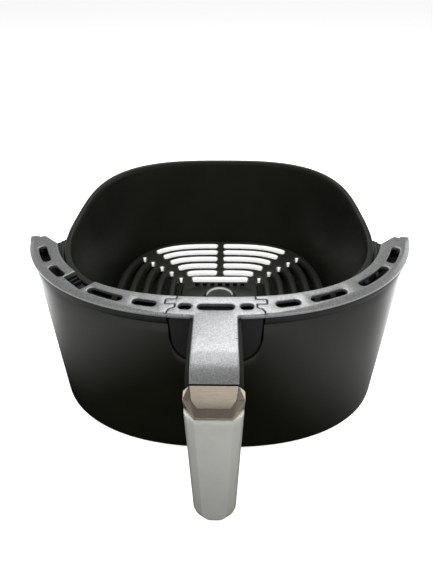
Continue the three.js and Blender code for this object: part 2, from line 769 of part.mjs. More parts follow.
const pieces = [
  ['pan_shell', COATING, makePan()],
  ['crisper_plate', COATING, makePlate()],
  ...[0, 1, 2, 3].map((quarter) => [`plate_foot_${quarter + 1}`, SILICONE, makeFoot(quarter)]),
  ['front_bracket', STEEL, makeFrontBracket()],
  ...sides.map(([side, word]) => [`side_bracket_${word}`, STEEL, makeSideBracket(side)]),
  ['heat_pad', FIBRE, makePad()],
  ['drawer_frame', SATIN_BLACK, makeFrame()],
  ['front_fascia', GLOSS_BLACK, makeFascia()],
  ...sides.map(([side, word]) => [`collar_${word}`, METALLIC_GREY, makeWing(side)]),
  ['handle_cap', METALLIC_GREY, makeCap()],
  ['handle_inset', SATIN_BLACK, makeInset()],
  ['handle_core', SATIN_BLACK, makeCore()],
  ['grip_crown', CHAMPAGNE, makeCrown()],
  ['grip_front_shell', SILVER, makeGripFront()],
  ['grip_rear_shell', SATIN_BLACK, makeGripRear()],
];

// Only the pieces near the screws are cut for them.
const DRILLED = new Set(['front_bracket', 'side_bracket_left', 'side_bracket_right', 'heat_pad',
  'drawer_frame', 'front_fascia', 'collar_left', 'collar_right', 'handle_cap', 'handle_core',
  'grip_front_shell', 'grip_rear_shell']);

const drawer = new THREE.Group();

function addNode(name, material, piece) {
  const { vertProperties, triVerts } = piece.getMesh();
  const geometry = new THREE.BufferGeometry();
  geometry.setAttribute('position', new THREE.BufferAttribute(vertProperties, 3));
  geometry.setIndex(new THREE.BufferAttribute(triVerts, 1));
  geometry.computeVertexNormals();
  const node = new THREE.Mesh(geometry, material);
  node.name = name;
  drawer.add(node);
}

pieces.forEach(([name, material, piece]) => {
  const drilled = DRILLED.has(name) ? cut(piece, ...SCREWS.map(({ room }) => room)) : piece;
  addNode(name, material, drilled);
});
SCREWS.forEach(({ name, piece }) => addNode(name, ZINC, piece));

export default drawer;
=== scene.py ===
"""The looks of an air fryer drawer: pan, crisper plate, curved front, collar and handle.

Every piece is a numpy surface worked out in millimetres in the frame's own axes: X to the right,
Y to the back, Z up from the middle of the pan's underside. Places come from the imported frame.
"""

import logging
import math
from dataclasses import dataclass
from enum import Enum
from typing import Callable, Sequence

import bmesh
import bpy
import numpy as np
from mathutils import Matrix, Vector
from mathutils.geometry import delaunay_2d_cdt, tessellate_polygon


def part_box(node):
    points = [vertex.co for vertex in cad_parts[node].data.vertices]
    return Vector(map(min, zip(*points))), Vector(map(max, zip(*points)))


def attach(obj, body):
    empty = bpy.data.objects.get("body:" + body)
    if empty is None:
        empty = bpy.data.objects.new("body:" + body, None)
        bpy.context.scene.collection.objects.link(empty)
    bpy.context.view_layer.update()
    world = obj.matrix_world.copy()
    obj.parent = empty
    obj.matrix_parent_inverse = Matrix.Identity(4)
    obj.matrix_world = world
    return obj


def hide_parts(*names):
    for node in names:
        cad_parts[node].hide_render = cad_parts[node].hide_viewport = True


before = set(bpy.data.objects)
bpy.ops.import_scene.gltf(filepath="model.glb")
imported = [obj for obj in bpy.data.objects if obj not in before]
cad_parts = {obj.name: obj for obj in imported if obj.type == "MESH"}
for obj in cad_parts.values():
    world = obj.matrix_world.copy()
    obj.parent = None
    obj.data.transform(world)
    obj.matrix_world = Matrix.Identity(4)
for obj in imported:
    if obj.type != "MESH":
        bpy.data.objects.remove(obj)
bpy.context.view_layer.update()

MM = 0.001
Array = np.ndarray
log = logging.getLogger("drawer")


# ---------------------------------------------------------------- where the frame says things are


def node_mm(node: str) -> tuple[Array, Array]:
    """Reads a CAD node's box.

    Args:
        node: the node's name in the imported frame.

    Returns:
        Its lowest and highest corners, in millimetres.
    """
    low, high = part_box(node)
    return np.array(low) / MM, np.array(high) / MM


# ---------------------------------------------------------------- plan curves and outlines


def bent(value: Array, power: float | Array) -> Array:
    """The signed power 2/power of a sine or cosine, which squares off a circle."""
    return np.sign(value) * np.abs(value) ** (2.0 / power)


def smooth(edge0: float, edge1: float, value: Array) -> Array:
    """The smooth step from 0 at edge0 to 1 at edge1."""
    t = np.clip((value - edge0) / (edge1 - edge0), 0.0, 1.0)
    return t * t * (3.0 - 2.0 * t)


def normals_of(loop: Array) -> Array:
    """Outward unit normals of a closed counter-clockwise outline, from its neighbours' chord."""
    chord = np.roll(loop, -1, axis=0) - np.roll(loop, 1, axis=0)
    chord /= np.maximum(np.linalg.norm(chord, axis=1, keepdims=True), 1e-9)
    return np.stack([chord[:, 1], -chord[:, 0]], axis=1)


def untangled(rows: Array, loop: Array) -> Array:
    """Relaxes the knots that an outline makes when it is set in at tight corners.

    Where a step of a row runs against the outline's own step, its two ends move to the middle of
    their neighbours, until no step does.

    Args:
        rows: copies of the outline, set in, as rows by points by two.
        loop: the outline.

    Returns:
        The relaxed rows.
    """
    along = np.roll(loop, -1, axis=0) - loop
    least = 0.02 * np.sum(along * along, axis=1)
    for _ in range(600):
        step = np.roll(rows, -1, axis=1) - rows
        against = np.sum(step * along, axis=2) <= least
        if not against.any():
            break
        near = (against | np.roll(against, 1, axis=1))[:, :, None]
        rows = np.where(near, (np.roll(rows, 1, axis=1) + np.roll(rows, -1, axis=1)) / 2, rows)
    return rows


def rounded(points: Sequence[Sequence[float]], radii: Sequence[float] | float, steps: int = 5,
            closed: bool = True) -> Array:
    """Rounds the corners of an outline with quadratic arcs.

    Each corner gives way to a curve from a point one radius before it to a point one radius
    after it, or half the side where the side is shorter than two radii.

    Args:
        points: the corners, in order.
        radii: how far from each corner its curve starts.
        steps: how many pieces each curve has.
        closed: whether the last corner joins the first.

    Returns:
        The rounded outline.
    """
    corners = np.array(points, float)
    sizes = np.full(len(corners), radii) if np.isscalar(radii) else np.array(radii, float)
    before = np.roll(corners, 1, axis=0) - corners
    after = np.roll(corners, -1, axis=0) - corners
    reach_back = np.linalg.norm(before, axis=1)
    reach_on = np.linalg.norm(after, axis=1)
    cut_back = np.minimum(sizes, 0.49 * reach_back)[:, None] / reach_back[:, None]
    cut_on = np.minimum(sizes, 0.49 * reach_on)[:, None] / reach_on[:, None]
    start = corners + before * cut_back
    end = corners + after * cut_on
    t = np.linspace(0.0, 1.0, steps + 1)[None, :, None]
    arcs = ((1 - t) ** 2 * start[:, None] + 2 * t * (1 - t) * corners[:, None]
            + t ** 2 * end[:, None])
    if not closed:
        arcs[0] = corners[0]
        arcs[-1] = corners[-1]
    flat = arcs.reshape(-1, corners.shape[1])
    step = np.linalg.norm(np.diff(flat, axis=0, prepend=flat[-1:] if closed else flat[:1] - 1.0),
                          axis=1)
    return flat[step > 1e-6]


def resample(line: Array, spacing: float) -> Array:
    """Adds points along an open line so that none of its steps is longer than a spacing."""
    length = np.concatenate([[0.0], np.cumsum(np.linalg.norm(np.diff(line, axis=0), axis=1))])
    extra = np.arange(0.0, length[-1], spacing)
    at = np.unique(np.concatenate([length, extra]).round(5))
    keep = np.concatenate([[True], np.diff(at) > 1e-3])
    return np.stack([np.interp(at[keep], length, line[:, k]) for k in range(line.shape[1])],
                    axis=1)


@dataclass(frozen=True)
class FrontCurve:
    """The front half of a rounded outline: x is half_x times the cosine and y is centre_y less
    half_y times the sine, both bent by the power. It ends at end_y on both sides."""

    half_x: float
    half_y: float
    centre_y: float
    power: float
    end_y: float = 0.0

    def angles(self, count: int) -> Array:
        """Evenly spread angles from the left end round to the right end."""
        reach = max(0.0, self.centre_y - self.end_y) / self.half_y
        first = math.asin(min(1.0, reach ** (self.power / 2)))
        return np.linspace(first, math.pi - first, count)

    def points(self, angles: Array) -> Array:
        """Points of the curve at some angles, as rows of x and y."""
        return np.stack([
            -self.half_x * bent(np.cos(angles), self.power),
            self.centre_y - self.half_y * bent(np.sin(angles), self.power),
        ], axis=1)

    def at(self, x: Array) -> Array:
        """The curve's y at given x."""
        inside = np.clip(1.0 - (np.abs(x) / self.half_x) ** self.power, 0.0, None)
        return self.centre_y - self.half_y * inside ** (1.0 / self.power)

    def out(self, x: Array) -> Array:
        """Unit normals that point forwards and outwards at given x, as rows."""
        step = 1e-3
        steep = (self.at(x + step) - self.at(x - step)) / (2 * step)
        size = np.sqrt(1 + steep ** 2)
        return np.stack([steep / size, -1.0 / size], axis=-1)

    def slot(self, x0: float, x1: float, width: float, count: int = 14) -> Array:
        """A slot with round ends that follows the curve.

        The two long sides are the curve moved out and in by half the width, and each end is
        half a circle about the last point of the middle line.

        Args:
            x0: x of one end.
            x1: x of the other end.
            width: the slot's width.
            count: points along each side.

        Returns:
            The closed outline, counter-clockwise.
        """
        radius = width / 2
        ends = np.array([x0, x1])
        lean = self.out(ends)
        inset = radius * np.abs(lean[:, 1])
        x = np.linspace(x0 + inset[0], x1 - inset[1], count)
        middle = np.stack([x, self.at(x)], axis=1)
        out = self.out(x)
        turn = np.linspace(0.0, math.pi, 9)[1:-1]
        def cap(centre: Array, normal: Array) -> Array:
            """The half circle round one end."""
            along = np.array([-normal[1], normal[0]])
            return centre + radius * (np.cos(turn)[:, None] * normal
                                      + np.sin(turn)[:, None] * along)
        return np.concatenate([
            middle + radius * out,
            cap(middle[-1], out[-1]),
            (middle - radius * out)[::-1],
            cap(middle[0], -out[0]),
        ])


def rounded_square(half: Array, power: float, longer: float, count: int) -> Array:
    """Closed rounded squares, one row for each half-width.

    Args:
        half: half-widths, one for each outline.
        power: how square the outlines are: 2 is a circle.
        longer: how much further each reaches in y than in x.
        count: points on each outline.

    Returns:
        Rows of x and y, counter-clockwise, for each half-width.
    """
    angle = np.linspace(0.0, 2 * math.pi, count, endpoint=False)
    half = np.atleast_1d(half)[:, None]
    return np.stack([
        half * bent(np.cos(angle), power)[None],
        (half + longer) * bent(np.sin(angle), power)[None],
    ], axis=2)


def inside(points: Array, ring: Array) -> Array:
    """Which points lie inside a closed outline: a ray to the right crosses it an odd number of
    times."""
    after = np.roll(ring, -1, axis=0)
    x, y = points[:, :1], points[:, 1:]
    spans = (ring[:, 1] > y) != (after[:, 1] > y)
    rise = np.where(after[:, 1] == ring[:, 1], 1.0, after[:, 1] - ring[:, 1])
    crossing = ring[:, 0] + (y - ring[:, 1]) * (after[:, 0] - ring[:, 0]) / rise
    return np.sum(spans & (x < crossing), axis=1) % 2 == 1


# ---------------------------------------------------------------- shells


class Shell:
    """One closed surface, put together from grids, strips and flat fills."""

    def __init__(self) -> None:
        """Starts an empty surface."""
        self.blocks: list[Array] = []
        self.count = 0
        self.quads: list[Array] = []
        self.triangles: list[Array] = []

    def put(self, points: Array) -> Array:
        """Adds points of any grid shape and returns their numbers in the same shape."""
        flat = points.reshape(-1, 3)
        numbers = np.arange(self.count, self.count + len(flat)).reshape(points.shape[:-1])
        self.blocks.append(flat)
        self.count += len(flat)
        return numbers

    def weave(self, numbers: Array, wrap: bool) -> None:
        """Covers a grid of numbered points with quads, closing each row if it wraps."""
        grid = np.concatenate([numbers, numbers[:, :1]], axis=1) if wrap else numbers
        self.quads.append(np.stack([
            grid[:-1, :-1], grid[:-1, 1:], grid[1:, 1:], grid[1:, :-1],
        ], axis=-1).reshape(-1, 4))

    def fill(self, loops: Sequence[Array], up: bool) -> None:
        """Fills a flat outline with holes.

        Args:
            loops: numbers of the outer loop and then of each hole.
            up: whether the fill faces up.
        """
        names = np.concatenate(loops)
        spots = np.concatenate(self.blocks)[names][:, :2]
        sizes = np.array([len(loop) for loop in loops])
        owner = np.repeat(np.arange(len(loops)), sizes)
        first = np.repeat(np.cumsum(sizes) - sizes, sizes)
        here = np.arange(len(names))
        following = first + (here - first + 1) % np.repeat(sizes, sizes)
        edges = np.stack([here, following], axis=1).tolist()
        made = delaunay_2d_cdt([Vector(p) for p in spots], edges, [], 1, 1e-7)
        source = np.array([group[0] for group in made[3]])
        found = source[np.array(made[2])]
        middle = spots[found].mean(axis=1)
        same = (owner[found] == owner[found[:, :1]]).all(axis=1)
        for k in range(1, len(loops)):
            mine = np.flatnonzero(same & (owner[found[:, 0]] == k))
            covered = mine[inside(middle[mine], spots[owner == k])]
            same[covered] = False
            found[covered] = -1
        found = found[found[:, 0] >= 0]
        a, b, c = (spots[found[:, k]] for k in range(3))
        area = (b - a)[:, 0] * (c - a)[:, 1] - (b - a)[:, 1] * (c - a)[:, 0]
        turned = (area > 0) != up
        found[turned] = found[turned][:, ::-1]
        self.triangles.append(names[found])

    def fill_loop(self, ring: Array) -> None:
        """Fills a nearly flat loop of any shape; the fill turns the way the loop runs."""
        where = np.concatenate(self.blocks)[ring]
        found = np.array(tessellate_polygon([[Vector(p) for p in where]]))
        step = (np.roll(found, -1, axis=1) - found) % len(ring)
        if np.sum(step == 1) < np.sum(step == len(ring) - 1):
            found = found[:, ::-1]
        self.triangles.append(ring[found])

    def fan(self, ring: Array, middle: Array) -> None:
        """Closes a ring of points with a fan about a middle point."""
        centre = int(self.put(np.array([middle], float))[0])
        nxt = np.roll(ring, -1)
        self.triangles.append(np.stack([np.full(len(ring), centre), ring, nxt], axis=1))

    def faces(self) -> tuple[Array, list[tuple[int, ...]]]:
        """The finished surface, turned so that it faces outwards.

        Returns:
            Its points, and its faces as tuples of point numbers.
        """
        points = np.concatenate(self.blocks)
        quads = np.concatenate(self.quads) if self.quads else np.zeros((0, 4), int)
        tris = np.concatenate(self.triangles) if self.triangles else np.zeros((0, 3), int)
        halves = np.concatenate([quads[:, [0, 1, 2]], quads[:, [0, 2, 3]], tris])
        a, b, c = (points[halves[:, k]] for k in range(3))
        if np.einsum("ij,ij->", a, np.cross(b, c)) < 0:
            quads = quads[:, ::-1]
            tris = tris[:, ::-1]
        return points, [*map(tuple, quads.tolist()), *map(tuple, tris.tolist())]


def stacked(rings: Array) -> Shell:
    """A closed skin over rings of equal length.

    Row i of the grid is ring i. The first and last rings are closed by fans about their means.

    Args:
        rings: the rings' points, as rings by points by x, y and z.

    Returns:
        The shell.
    """
    shell = Shell()
    numbers = shell.put(rings)
    shell.weave(numbers, wrap=True)
    shell.fan(numbers[0][::-1], rings[0].mean(axis=0))
    shell.fan(numbers[-1], rings[-1].mean(axis=0))
    return shell


def looped(sections: Array) -> Shell:
    """A closed skin over sections of any shape carried along a path.

    Row j of the grid is the section at the path's point j; each section is a closed loop. The
    first and last sections are filled flat.

    Args:
        sections: path points by section points by x, y and z.

    Returns:
        The shell.
    """
    shell = Shell()
    numbers = shell.put(sections)
    shell.weave(numbers, wrap=True)
    shell.fill_loop(numbers[0][::-1])
    shell.fill_loop(numbers[-1])
    return shell


def across(outline: Array, half: float, radius: float) -> Shell:
    """A bar along X with an outline in Y and Z and softened ends.

    Section k is the outline set in by an inset at x; the insets fall from the radius to zero
    over the first radius of the bar's length and rise again at its other end.

    Args:
        outline: rows of y and z, counter-clockwise seen along minus X.
        half: half the bar's length.
        radius: the softening.

    Returns:
        The shell.
    """
    insets = np.array([radius, 0.3 * radius, 0.0, 0.0, 0.3 * radius, radius])
    x = np.array([-half, 0.3 * radius - half, radius - half, half - radius,
                  half - 0.3 * radius, half])
    plan = outline[None] - normals_of(outline)[None] * insets[:, None, None]
    depth = np.broadcast_to(x[:, None, None], (len(x), len(outline), 1))
    return looped(np.concatenate([depth, plan], axis=2))


def between(front: Array, back: Array) -> Shell:
    """A closed skin over two grids of the same shape, stitched along their four edges.

    Args:
        front: rows by columns by x, y and z.
        back: the other face, point for point.

    Returns:
        The shell.
    """
    shell = Shell()
    one = shell.put(front)
    two = shell.put(back)
    shell.weave(one, wrap=False)
    shell.weave(two[:, ::-1], wrap=False)
    edge_one = np.concatenate([one[0], one[1:, -1], one[-1, -2::-1], one[-2:0:-1, 0]])
    edge_two = np.concatenate([two[0], two[1:, -1], two[-1, -2::-1], two[-2:0:-1, 0]])
    shell.weave(np.stack([edge_two, edge_one]), wrap=True)
    return shell


def turned(profile: Array, count: int = 48) -> Shell:
    """A solid of revolution about Z.

    Ring i has the radius and height of profile point i at every angle.

    Args:
        profile: rows of radius and height, from one end to the other, with radii above zero.
        count: points round it.

    Returns:
        The shell, closed by fans.
    """
    angle = np.linspace(0.0, 2 * math.pi, count, endpoint=False)
    ring = np.stack([np.cos(angle), np.sin(angle)], axis=1)
    rings = np.concatenate([
        profile[:, 0, None, None] * ring[None],
        np.broadcast_to(profile[:, 1, None, None], (len(profile), count, 1)),
    ], axis=2)
    return stacked(rings)


def moved(shell: Shell, matrix: Matrix) -> Shell:
    """Carries a shell's points by a matrix in millimetres."""
    turn = np.array(matrix)
    shell.blocks = [block @ turn[:3, :3].T + turn[:3, 3] for block in shell.blocks]
    return shell


def block(low: Sequence[float], high: Sequence[float], radius: float = 0.5) -> Shell:
    """A block with softened upright edges and softened top and bottom edges.

    Each ring is the block's rounded outline; the first and last rings are set in by the radius.

    Args:
        low: its lowest corner.
        high: its highest corner.
        radius: how far the softening reaches.

    Returns:
        The shell.
    """
    def outline(inset: float) -> Array:
        """The plan, set in, with rounded corners."""
        x0, y0, x1, y1 = low[0] + inset, low[1] + inset, high[0] - inset, high[1] - inset
        return rounded([(x0, y0), (x1, y0), (x1, y1), (x0, y1)], radius, steps=3)
    insets = np.array([radius, 0.3 * radius, 0.0, 0.0, 0.3 * radius, radius])
    lifts = np.array([0.0, 0.3 * radius, radius, -radius, -0.3 * radius, 0.0])
    base = np.array([low[2]] * 3 + [high[2]] * 3)
    rings = [np.column_stack([outline(i), np.full(16, z)]) for i, z in zip(insets, base + lifts)]
    return stacked(np.array(rings))


def sheet_with_holes(outer: Array, holes: Sequence[Array], outer_rim: Callable[[Array], Array],
                     hole_rim: Array, height: Callable[[Array], Array]) -> Shell:
    """A moulded or pressed sheet with holes, as one closed skin.

    A rim is a profile of rows of inset and drop. It is carried round its loop: each loop point
    moves along its own inward normal by the inset, and down by the drop, from the height that
    the sheet's top has there. The first profile row of every rim bounds the flat top, and the
    last bounds the flat underside.

    Args:
        outer: the outline, counter-clockwise.
        holes: the holes' outlines, counter-clockwise.
        outer_rim: gives the outer profile for each outline point, as rows by points by two.
        hole_rim: the profile round each hole, with insets measured into the material.
        height: gives the top's height at plan points.

    Returns:
        The shell.
    """
    shell = Shell()
    tops: list[Array] = []
    floors: list[Array] = []
    for which, loop in enumerate([outer, *holes]):
        inward = -normals_of(loop) if which == 0 else normals_of(loop)
        rim = outer_rim(loop) if which == 0 else np.repeat(hole_rim[:, None], len(loop), axis=1)
        plan = untangled(loop[None] + inward[None] * rim[:, :, :1], loop)
        z = height(loop)[None] - rim[:, :, 1]
        numbers = shell.put(np.concatenate([plan, z[:, :, None]], axis=2))
        shell.weave(numbers if which == 0 else numbers[:, ::-1], wrap=True)
        tops.append(numbers[0])
        floors.append(numbers[-1])
    shell.fill(tops, up=False)
    shell.fill(floors, up=True)
    return shell


# ---------------------------------------------------------------- finishes


class Recipe:
    """A node material, put together one node at a time, in millimetre coordinates."""

    def __init__(self, name: str) -> None:
        """Starts a material that holds one shader and its coordinates.

        Args:
            name: the material's name.
        """
        self.material = bpy.data.materials.new(name)
        self.material.use_nodes = True
        self.tree = self.material.node_tree
        self.shader = self.tree.nodes["Principled BSDF"]
        where = self.tree.nodes.new("ShaderNodeTexCoord")
        self.place = self.node("ShaderNodeMapping", Scale=(1 / MM, 1 / MM, 1 / MM))
        self.join(where.outputs["Object"], self.place.inputs["Vector"])

    def node(self, kind: str, **values: object) -> bpy.types.Node:
        """Adds a node.

        Args:
            kind: the node's type.
            values: values for its input sockets, or for its settings in lower case.

        Returns:
            The node.
        """
        made = self.tree.nodes.new(kind)
        for name, value in values.items():
            words = name.replace("_", " ")
            if name.islower():
                setattr(made, name, value)
            else:
                made.inputs[words].default_value = value
        return made

    def join(self, out: bpy.types.NodeSocket, into: bpy.types.NodeSocket) -> None:
        """Links one socket to another."""
        self.tree.links.new(out, into)

    def set(self, **values: object) -> None:
        """Sets the shader's own sockets, with underscores for spaces in their names."""
        for name, value in values.items():
            self.shader.inputs[name.replace("_", " ")].default_value = value

    def noise(self, per_mm: float, detail: float = 3.0,
              stretch: Sequence[float] = (1, 1, 1)) -> bpy.types.NodeSocket:
        """A noise value.

        Args:
            per_mm: how many bumps there are for each millimetre.
            detail: how many finer layers it has.
            stretch: how much it is squeezed along each axis.

        Returns:
            The value's socket.
        """
        scaled = self.node("ShaderNodeMapping", Scale=tuple(stretch))
        self.join(self.place.outputs[0], scaled.inputs["Vector"])
        made = self.node("ShaderNodeTexNoise", Scale=per_mm, Detail=detail, Roughness=0.55)
        self.join(scaled.outputs[0], made.inputs["Vector"])
        return made.outputs["Fac"]

    def flakes(self, per_mm: float) -> bpy.types.NodeSocket:
        """A random grey for each cell of a cell pattern, so many cells for each millimetre."""
        cells = self.node("ShaderNodeTexVoronoi", Scale=per_mm)
        self.join(self.place.outputs[0], cells.inputs["Vector"])
        split = self.node("ShaderNodeSeparateColor")
        self.join(cells.outputs["Color"], split.inputs[0])
        return split.outputs[0]

    def spread(self, value: bpy.types.NodeSocket, low: float, high: float,
               start: float = 0.3, stop: float = 0.7) -> bpy.types.NodeSocket:
        """Maps a value from one range to another.

        Args:
            value: the value's socket.
            low: the result's lowest value.
            high: its highest value.
            start: the value that becomes low.
            stop: the value that becomes high.

        Returns:
            The result's socket.
        """
        made = self.node("ShaderNodeMapRange")
        made.inputs["From Min"].default_value = start
        made.inputs["From Max"].default_value = stop
        made.inputs["To Min"].default_value = low
        made.inputs["To Max"].default_value = high
        self.join(value, made.inputs["Value"])
        return made.outputs["Result"]

    def tint(self, value: bpy.types.NodeSocket, dark: Sequence[float],
             light: Sequence[float]) -> bpy.types.NodeSocket:
        """A colour between two others."""
        made = self.node("ShaderNodeMix", data_type="RGBA")
        made.inputs[6].default_value = (*dark, 1.0)
        made.inputs[7].default_value = (*light, 1.0)
        self.join(value, made.inputs[0])
        return made.outputs[2]

    def bump(self, value: bpy.types.NodeSocket, depth_mm: float) -> bpy.types.NodeSocket:
        """A bumped normal of a depth in millimetres."""
        made = self.node("ShaderNodeBump", Strength=1.0, Distance=depth_mm * MM)
        self.join(value, made.inputs["Height"])
        return made.outputs["Normal"]


@dataclass(frozen=True)
class NonStick:
    """Satin black non-stick coating on drawn steel, finely pebbled, and, where a point attribute
    marks it, a painted highlight: near-white colour that also glows.
    """

    name: str = "nonstick_coating"
    dark: tuple[float, float, float] = (0.0096, 0.0100, 0.0072)
    light: tuple[float, float, float] = (0.0155, 0.0160, 0.0118)
    roughness: tuple[float, float] = (0.40, 0.52)
    pebble: float = 0.9
    # Painted highlight on the marked slot lips: its near-white colour, how strongly it glows, and
    # the name of the point attribute that marks where it is painted.
    lip: tuple[float, float, float] = (0.92, 0.93, 0.91)
    lip_highlight_glow: float = 0.35
    highlight_attribute: str = ""

    def material(self) -> bpy.types.Material:
        """Builds the material."""
        recipe = Recipe(self.name)
        cloud = recipe.noise(0.02, detail=4.0)
        grain = recipe.noise(self.pebble, detail=2.0)
        colour = recipe.tint(recipe.spread(cloud, 0.0, 1.0), self.dark, self.light)
        recipe.join(recipe.spread(grain, *self.roughness), recipe.shader.inputs["Roughness"])
        # Painted highlight: where the attribute marks a point, the colour is mixed towards the
        # near-white lip colour and the surface glows with it.
        if self.highlight_attribute:
            highlight_mark = recipe.node("ShaderNodeAttribute", attribute_name=self.highlight_attribute)
            highlight_blend = recipe.node("ShaderNodeMix", data_type="RGBA")
            recipe.join(highlight_mark.outputs["Fac"], highlight_blend.inputs[0])
            recipe.join(colour, highlight_blend.inputs[6])
            highlight_blend.inputs[7].default_value = (*self.lip, 1.0)
            colour = highlight_blend.outputs[2]
            glow = recipe.spread(highlight_mark.outputs["Fac"], 0.0, self.lip_highlight_glow, 0.0, 1.0)
            recipe.join(glow, recipe.shader.inputs["Emission Strength"])
            recipe.set(Emission_Color=(*self.lip, 1.0))
        recipe.join(colour, recipe.shader.inputs["Base Color"])
        recipe.join(recipe.bump(grain, 0.035), recipe.shader.inputs["Normal"])
        return recipe.material


@dataclass(frozen=True)
class Plastic:
    """Moulded plastic: a base colour that drifts a little, smudges and a moulded-in grain."""

    name: str
    dark: tuple[float, float, float]
    light: tuple[float, float, float]
    roughness: tuple[float, float]
    grain: float
    depth: float
    coat: float = 0.0

    def material(self) -> bpy.types.Material:
        """Builds the material."""
        recipe = Recipe(self.name)
        drift = recipe.noise(0.03, detail=3.0)
        smudge = recipe.noise(0.05, detail=5.0, stretch=(1, 1, 0.4))
        grain = recipe.noise(self.grain, detail=2.0)
        colour = recipe.tint(recipe.spread(drift, 0.0, 1.0), self.dark, self.light)
        recipe.join(colour, recipe.shader.inputs["Base Color"])
        recipe.join(recipe.spread(smudge, *self.roughness), recipe.shader.inputs["Roughness"])
        recipe.join(recipe.bump(grain, self.depth), recipe.shader.inputs["Normal"])
        recipe.set(Coat_Weight=self.coat, Coat_Roughness=0.06)
        return recipe.material


@dataclass(frozen=True)
class FlakePaint:
    """Metallic paint over fine texture: random bright and dark flakes on a grey ground."""

    name: str
    dark: tuple[float, float, float]
    light: tuple[float, float, float]
    roughness: tuple[float, float]
    flakes: float = 2.1
    metallic: float = 0.75
    depth: float = 0.03

    def material(self) -> bpy.types.Material:
        """Builds the material."""
        recipe = Recipe(self.name)
        flake = recipe.flakes(self.flakes)
        grain = recipe.noise(1.3, detail=3.0)
        colour = recipe.tint(flake, self.dark, self.light)
        recipe.join(colour, recipe.shader.inputs["Base Color"])
        recipe.join(recipe.spread(grain, *self.roughness), recipe.shader.inputs["Roughness"])
        recipe.join(recipe.bump(grain, self.depth), recipe.shader.inputs["Normal"])
        recipe.set(Metallic=self.metallic)
        return recipe.material


@dataclass(frozen=True)
class SatinMetal:
    """Satin metal with fine brush lines along one axis and a slow change of tone."""

    name: str
    dark: tuple[float, float, float]
    light: tuple[float, float, float]
    roughness: tuple[float, float]
    along: tuple[float, float, float] = (1.0, 1.0, 0.02)
    lines: float = 4.0
    depth: float = 0.006
    metallic: float = 1.0

    def material(self) -> bpy.types.Material:
        """Builds the material."""
        recipe = Recipe(self.name)
        tone = recipe.noise(0.06, detail=3.0)
        brush = recipe.noise(self.lines, detail=2.0, stretch=self.along)
        colour = recipe.tint(recipe.spread(tone, 0.0, 1.0), self.dark, self.light)
        recipe.join(colour, recipe.shader.inputs["Base Color"])
        recipe.join(recipe.spread(brush, *self.roughness), recipe.shader.inputs["Roughness"])
        recipe.join(recipe.bump(brush, self.depth), recipe.shader.inputs["Normal"])
        recipe.set(Metallic=self.metallic)
        return recipe.material


class Slot(Enum):
    """The record's material slots."""

    COATING = "nonstick_coating"
    GLOSS = "gloss_black_plastic"
    SATIN = "satin_black_plastic"
    GREY = "metallic_grey_plastic"
    CROWN = "champagne_plating"
    SILVER = "silver_paint"
    STEEL = "bracket_steel"
    ZINC = "zinc_screw"
    SILICONE = "silicone"
    PAD = "fibre_pad"


FINISHES = {
    Slot.COATING: NonStick(),
    Slot.GLOSS: Plastic("gloss_black_plastic", (0.0092, 0.0096, 0.0056), (0.0118, 0.0123, 0.0076),
                        (0.09, 0.15), grain=0.12, depth=0.003, coat=0.1),
    Slot.SATIN: Plastic("satin_black_plastic", (0.005, 0.0052, 0.0048),
                        (0.0085, 0.0087, 0.008), (0.34, 0.46), grain=2.4, depth=0.02),
    Slot.GREY: FlakePaint("metallic_grey_plastic", (0.40, 0.405, 0.41), (0.62, 0.63, 0.635),
                          (0.27, 0.37), flakes=1.9, metallic=0.88),
    Slot.CROWN: SatinMetal("champagne_plating", (0.43, 0.37, 0.30), (0.50, 0.435, 0.36),
                           (0.26, 0.36), along=(0.05, 1.0, 1.0)),
    Slot.SILVER: SatinMetal("silver_paint", (0.62, 0.625, 0.58), (0.69, 0.695, 0.65),
                            (0.30, 0.42), metallic=0.35),
    Slot.STEEL: SatinMetal("bracket_steel", (0.42, 0.42, 0.43), (0.55, 0.55, 0.56),
                           (0.28, 0.5), along=(0.03, 1.0, 1.0), depth=0.02),
    Slot.ZINC: SatinMetal("zinc_screw", (0.52, 0.53, 0.55), (0.66, 0.67, 0.68), (0.25, 0.4),
                          along=(1.0, 1.0, 1.0), lines=1.5, depth=0.02),
    Slot.SILICONE: Plastic("silicone", (0.014, 0.014, 0.015), (0.022, 0.022, 0.023),
                           (0.62, 0.78), grain=1.6, depth=0.04),
    Slot.PAD: Plastic("fibre_pad", (0.16, 0.12, 0.08), (0.28, 0.21, 0.14), (0.8, 0.95),
                      grain=1.1, depth=0.12),
}
MADE: dict[str, bpy.types.Material] = {}


def finish_of(kind: Slot) -> bpy.types.Material:
    """The material of a slot, made the first time it is asked for."""
    if kind.value not in MADE:
        MADE[kind.value] = FINISHES[kind].material()
    return MADE[kind.value]


def piece(name: str, shells: Sequence[Shell], kind: Slot, body: str, nodes: Sequence[str],
          sharp: float = 32.0) -> bpy.types.Object:
    """Makes one piece from closed shells and settles it in the frame.

    Args:
        name: the piece's name.
        shells: its closed surfaces, in millimetres.
        kind: the material slot it takes its finish from.
        body: the CAD body it rides on.
        nodes: the CAD nodes that it stands for.
        sharp: edges that bend by more than this many degrees stay crisp.

    Returns:
        The Blender object.
    """
    points: list[Array] = []
    faces: list[tuple[int, ...]] = []
    count = 0
    for shell in shells:
        spots, corners = shell.faces()
        faces += [tuple(n + count for n in face) for face in corners]
        points.append(spots)
        count += len(spots)
    mesh = bpy.data.meshes.new(name)
    mesh.from_pydata((np.concatenate(points) * MM).tolist(), [], faces)
    mesh.validate()
    mesh.shade_smooth()
    mesh.set_sharp_from_angle(angle=math.radians(sharp))
    made = bpy.data.objects.new(name, mesh)
    bpy.context.scene.collection.objects.link(made)
    mesh.materials.append(finish_of(kind))
    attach(made, body)
    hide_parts(*nodes)
    log.info("%s: %d faces", name, len(faces))
    return made


# ---------------------------------------------------------------- the pan and its plate


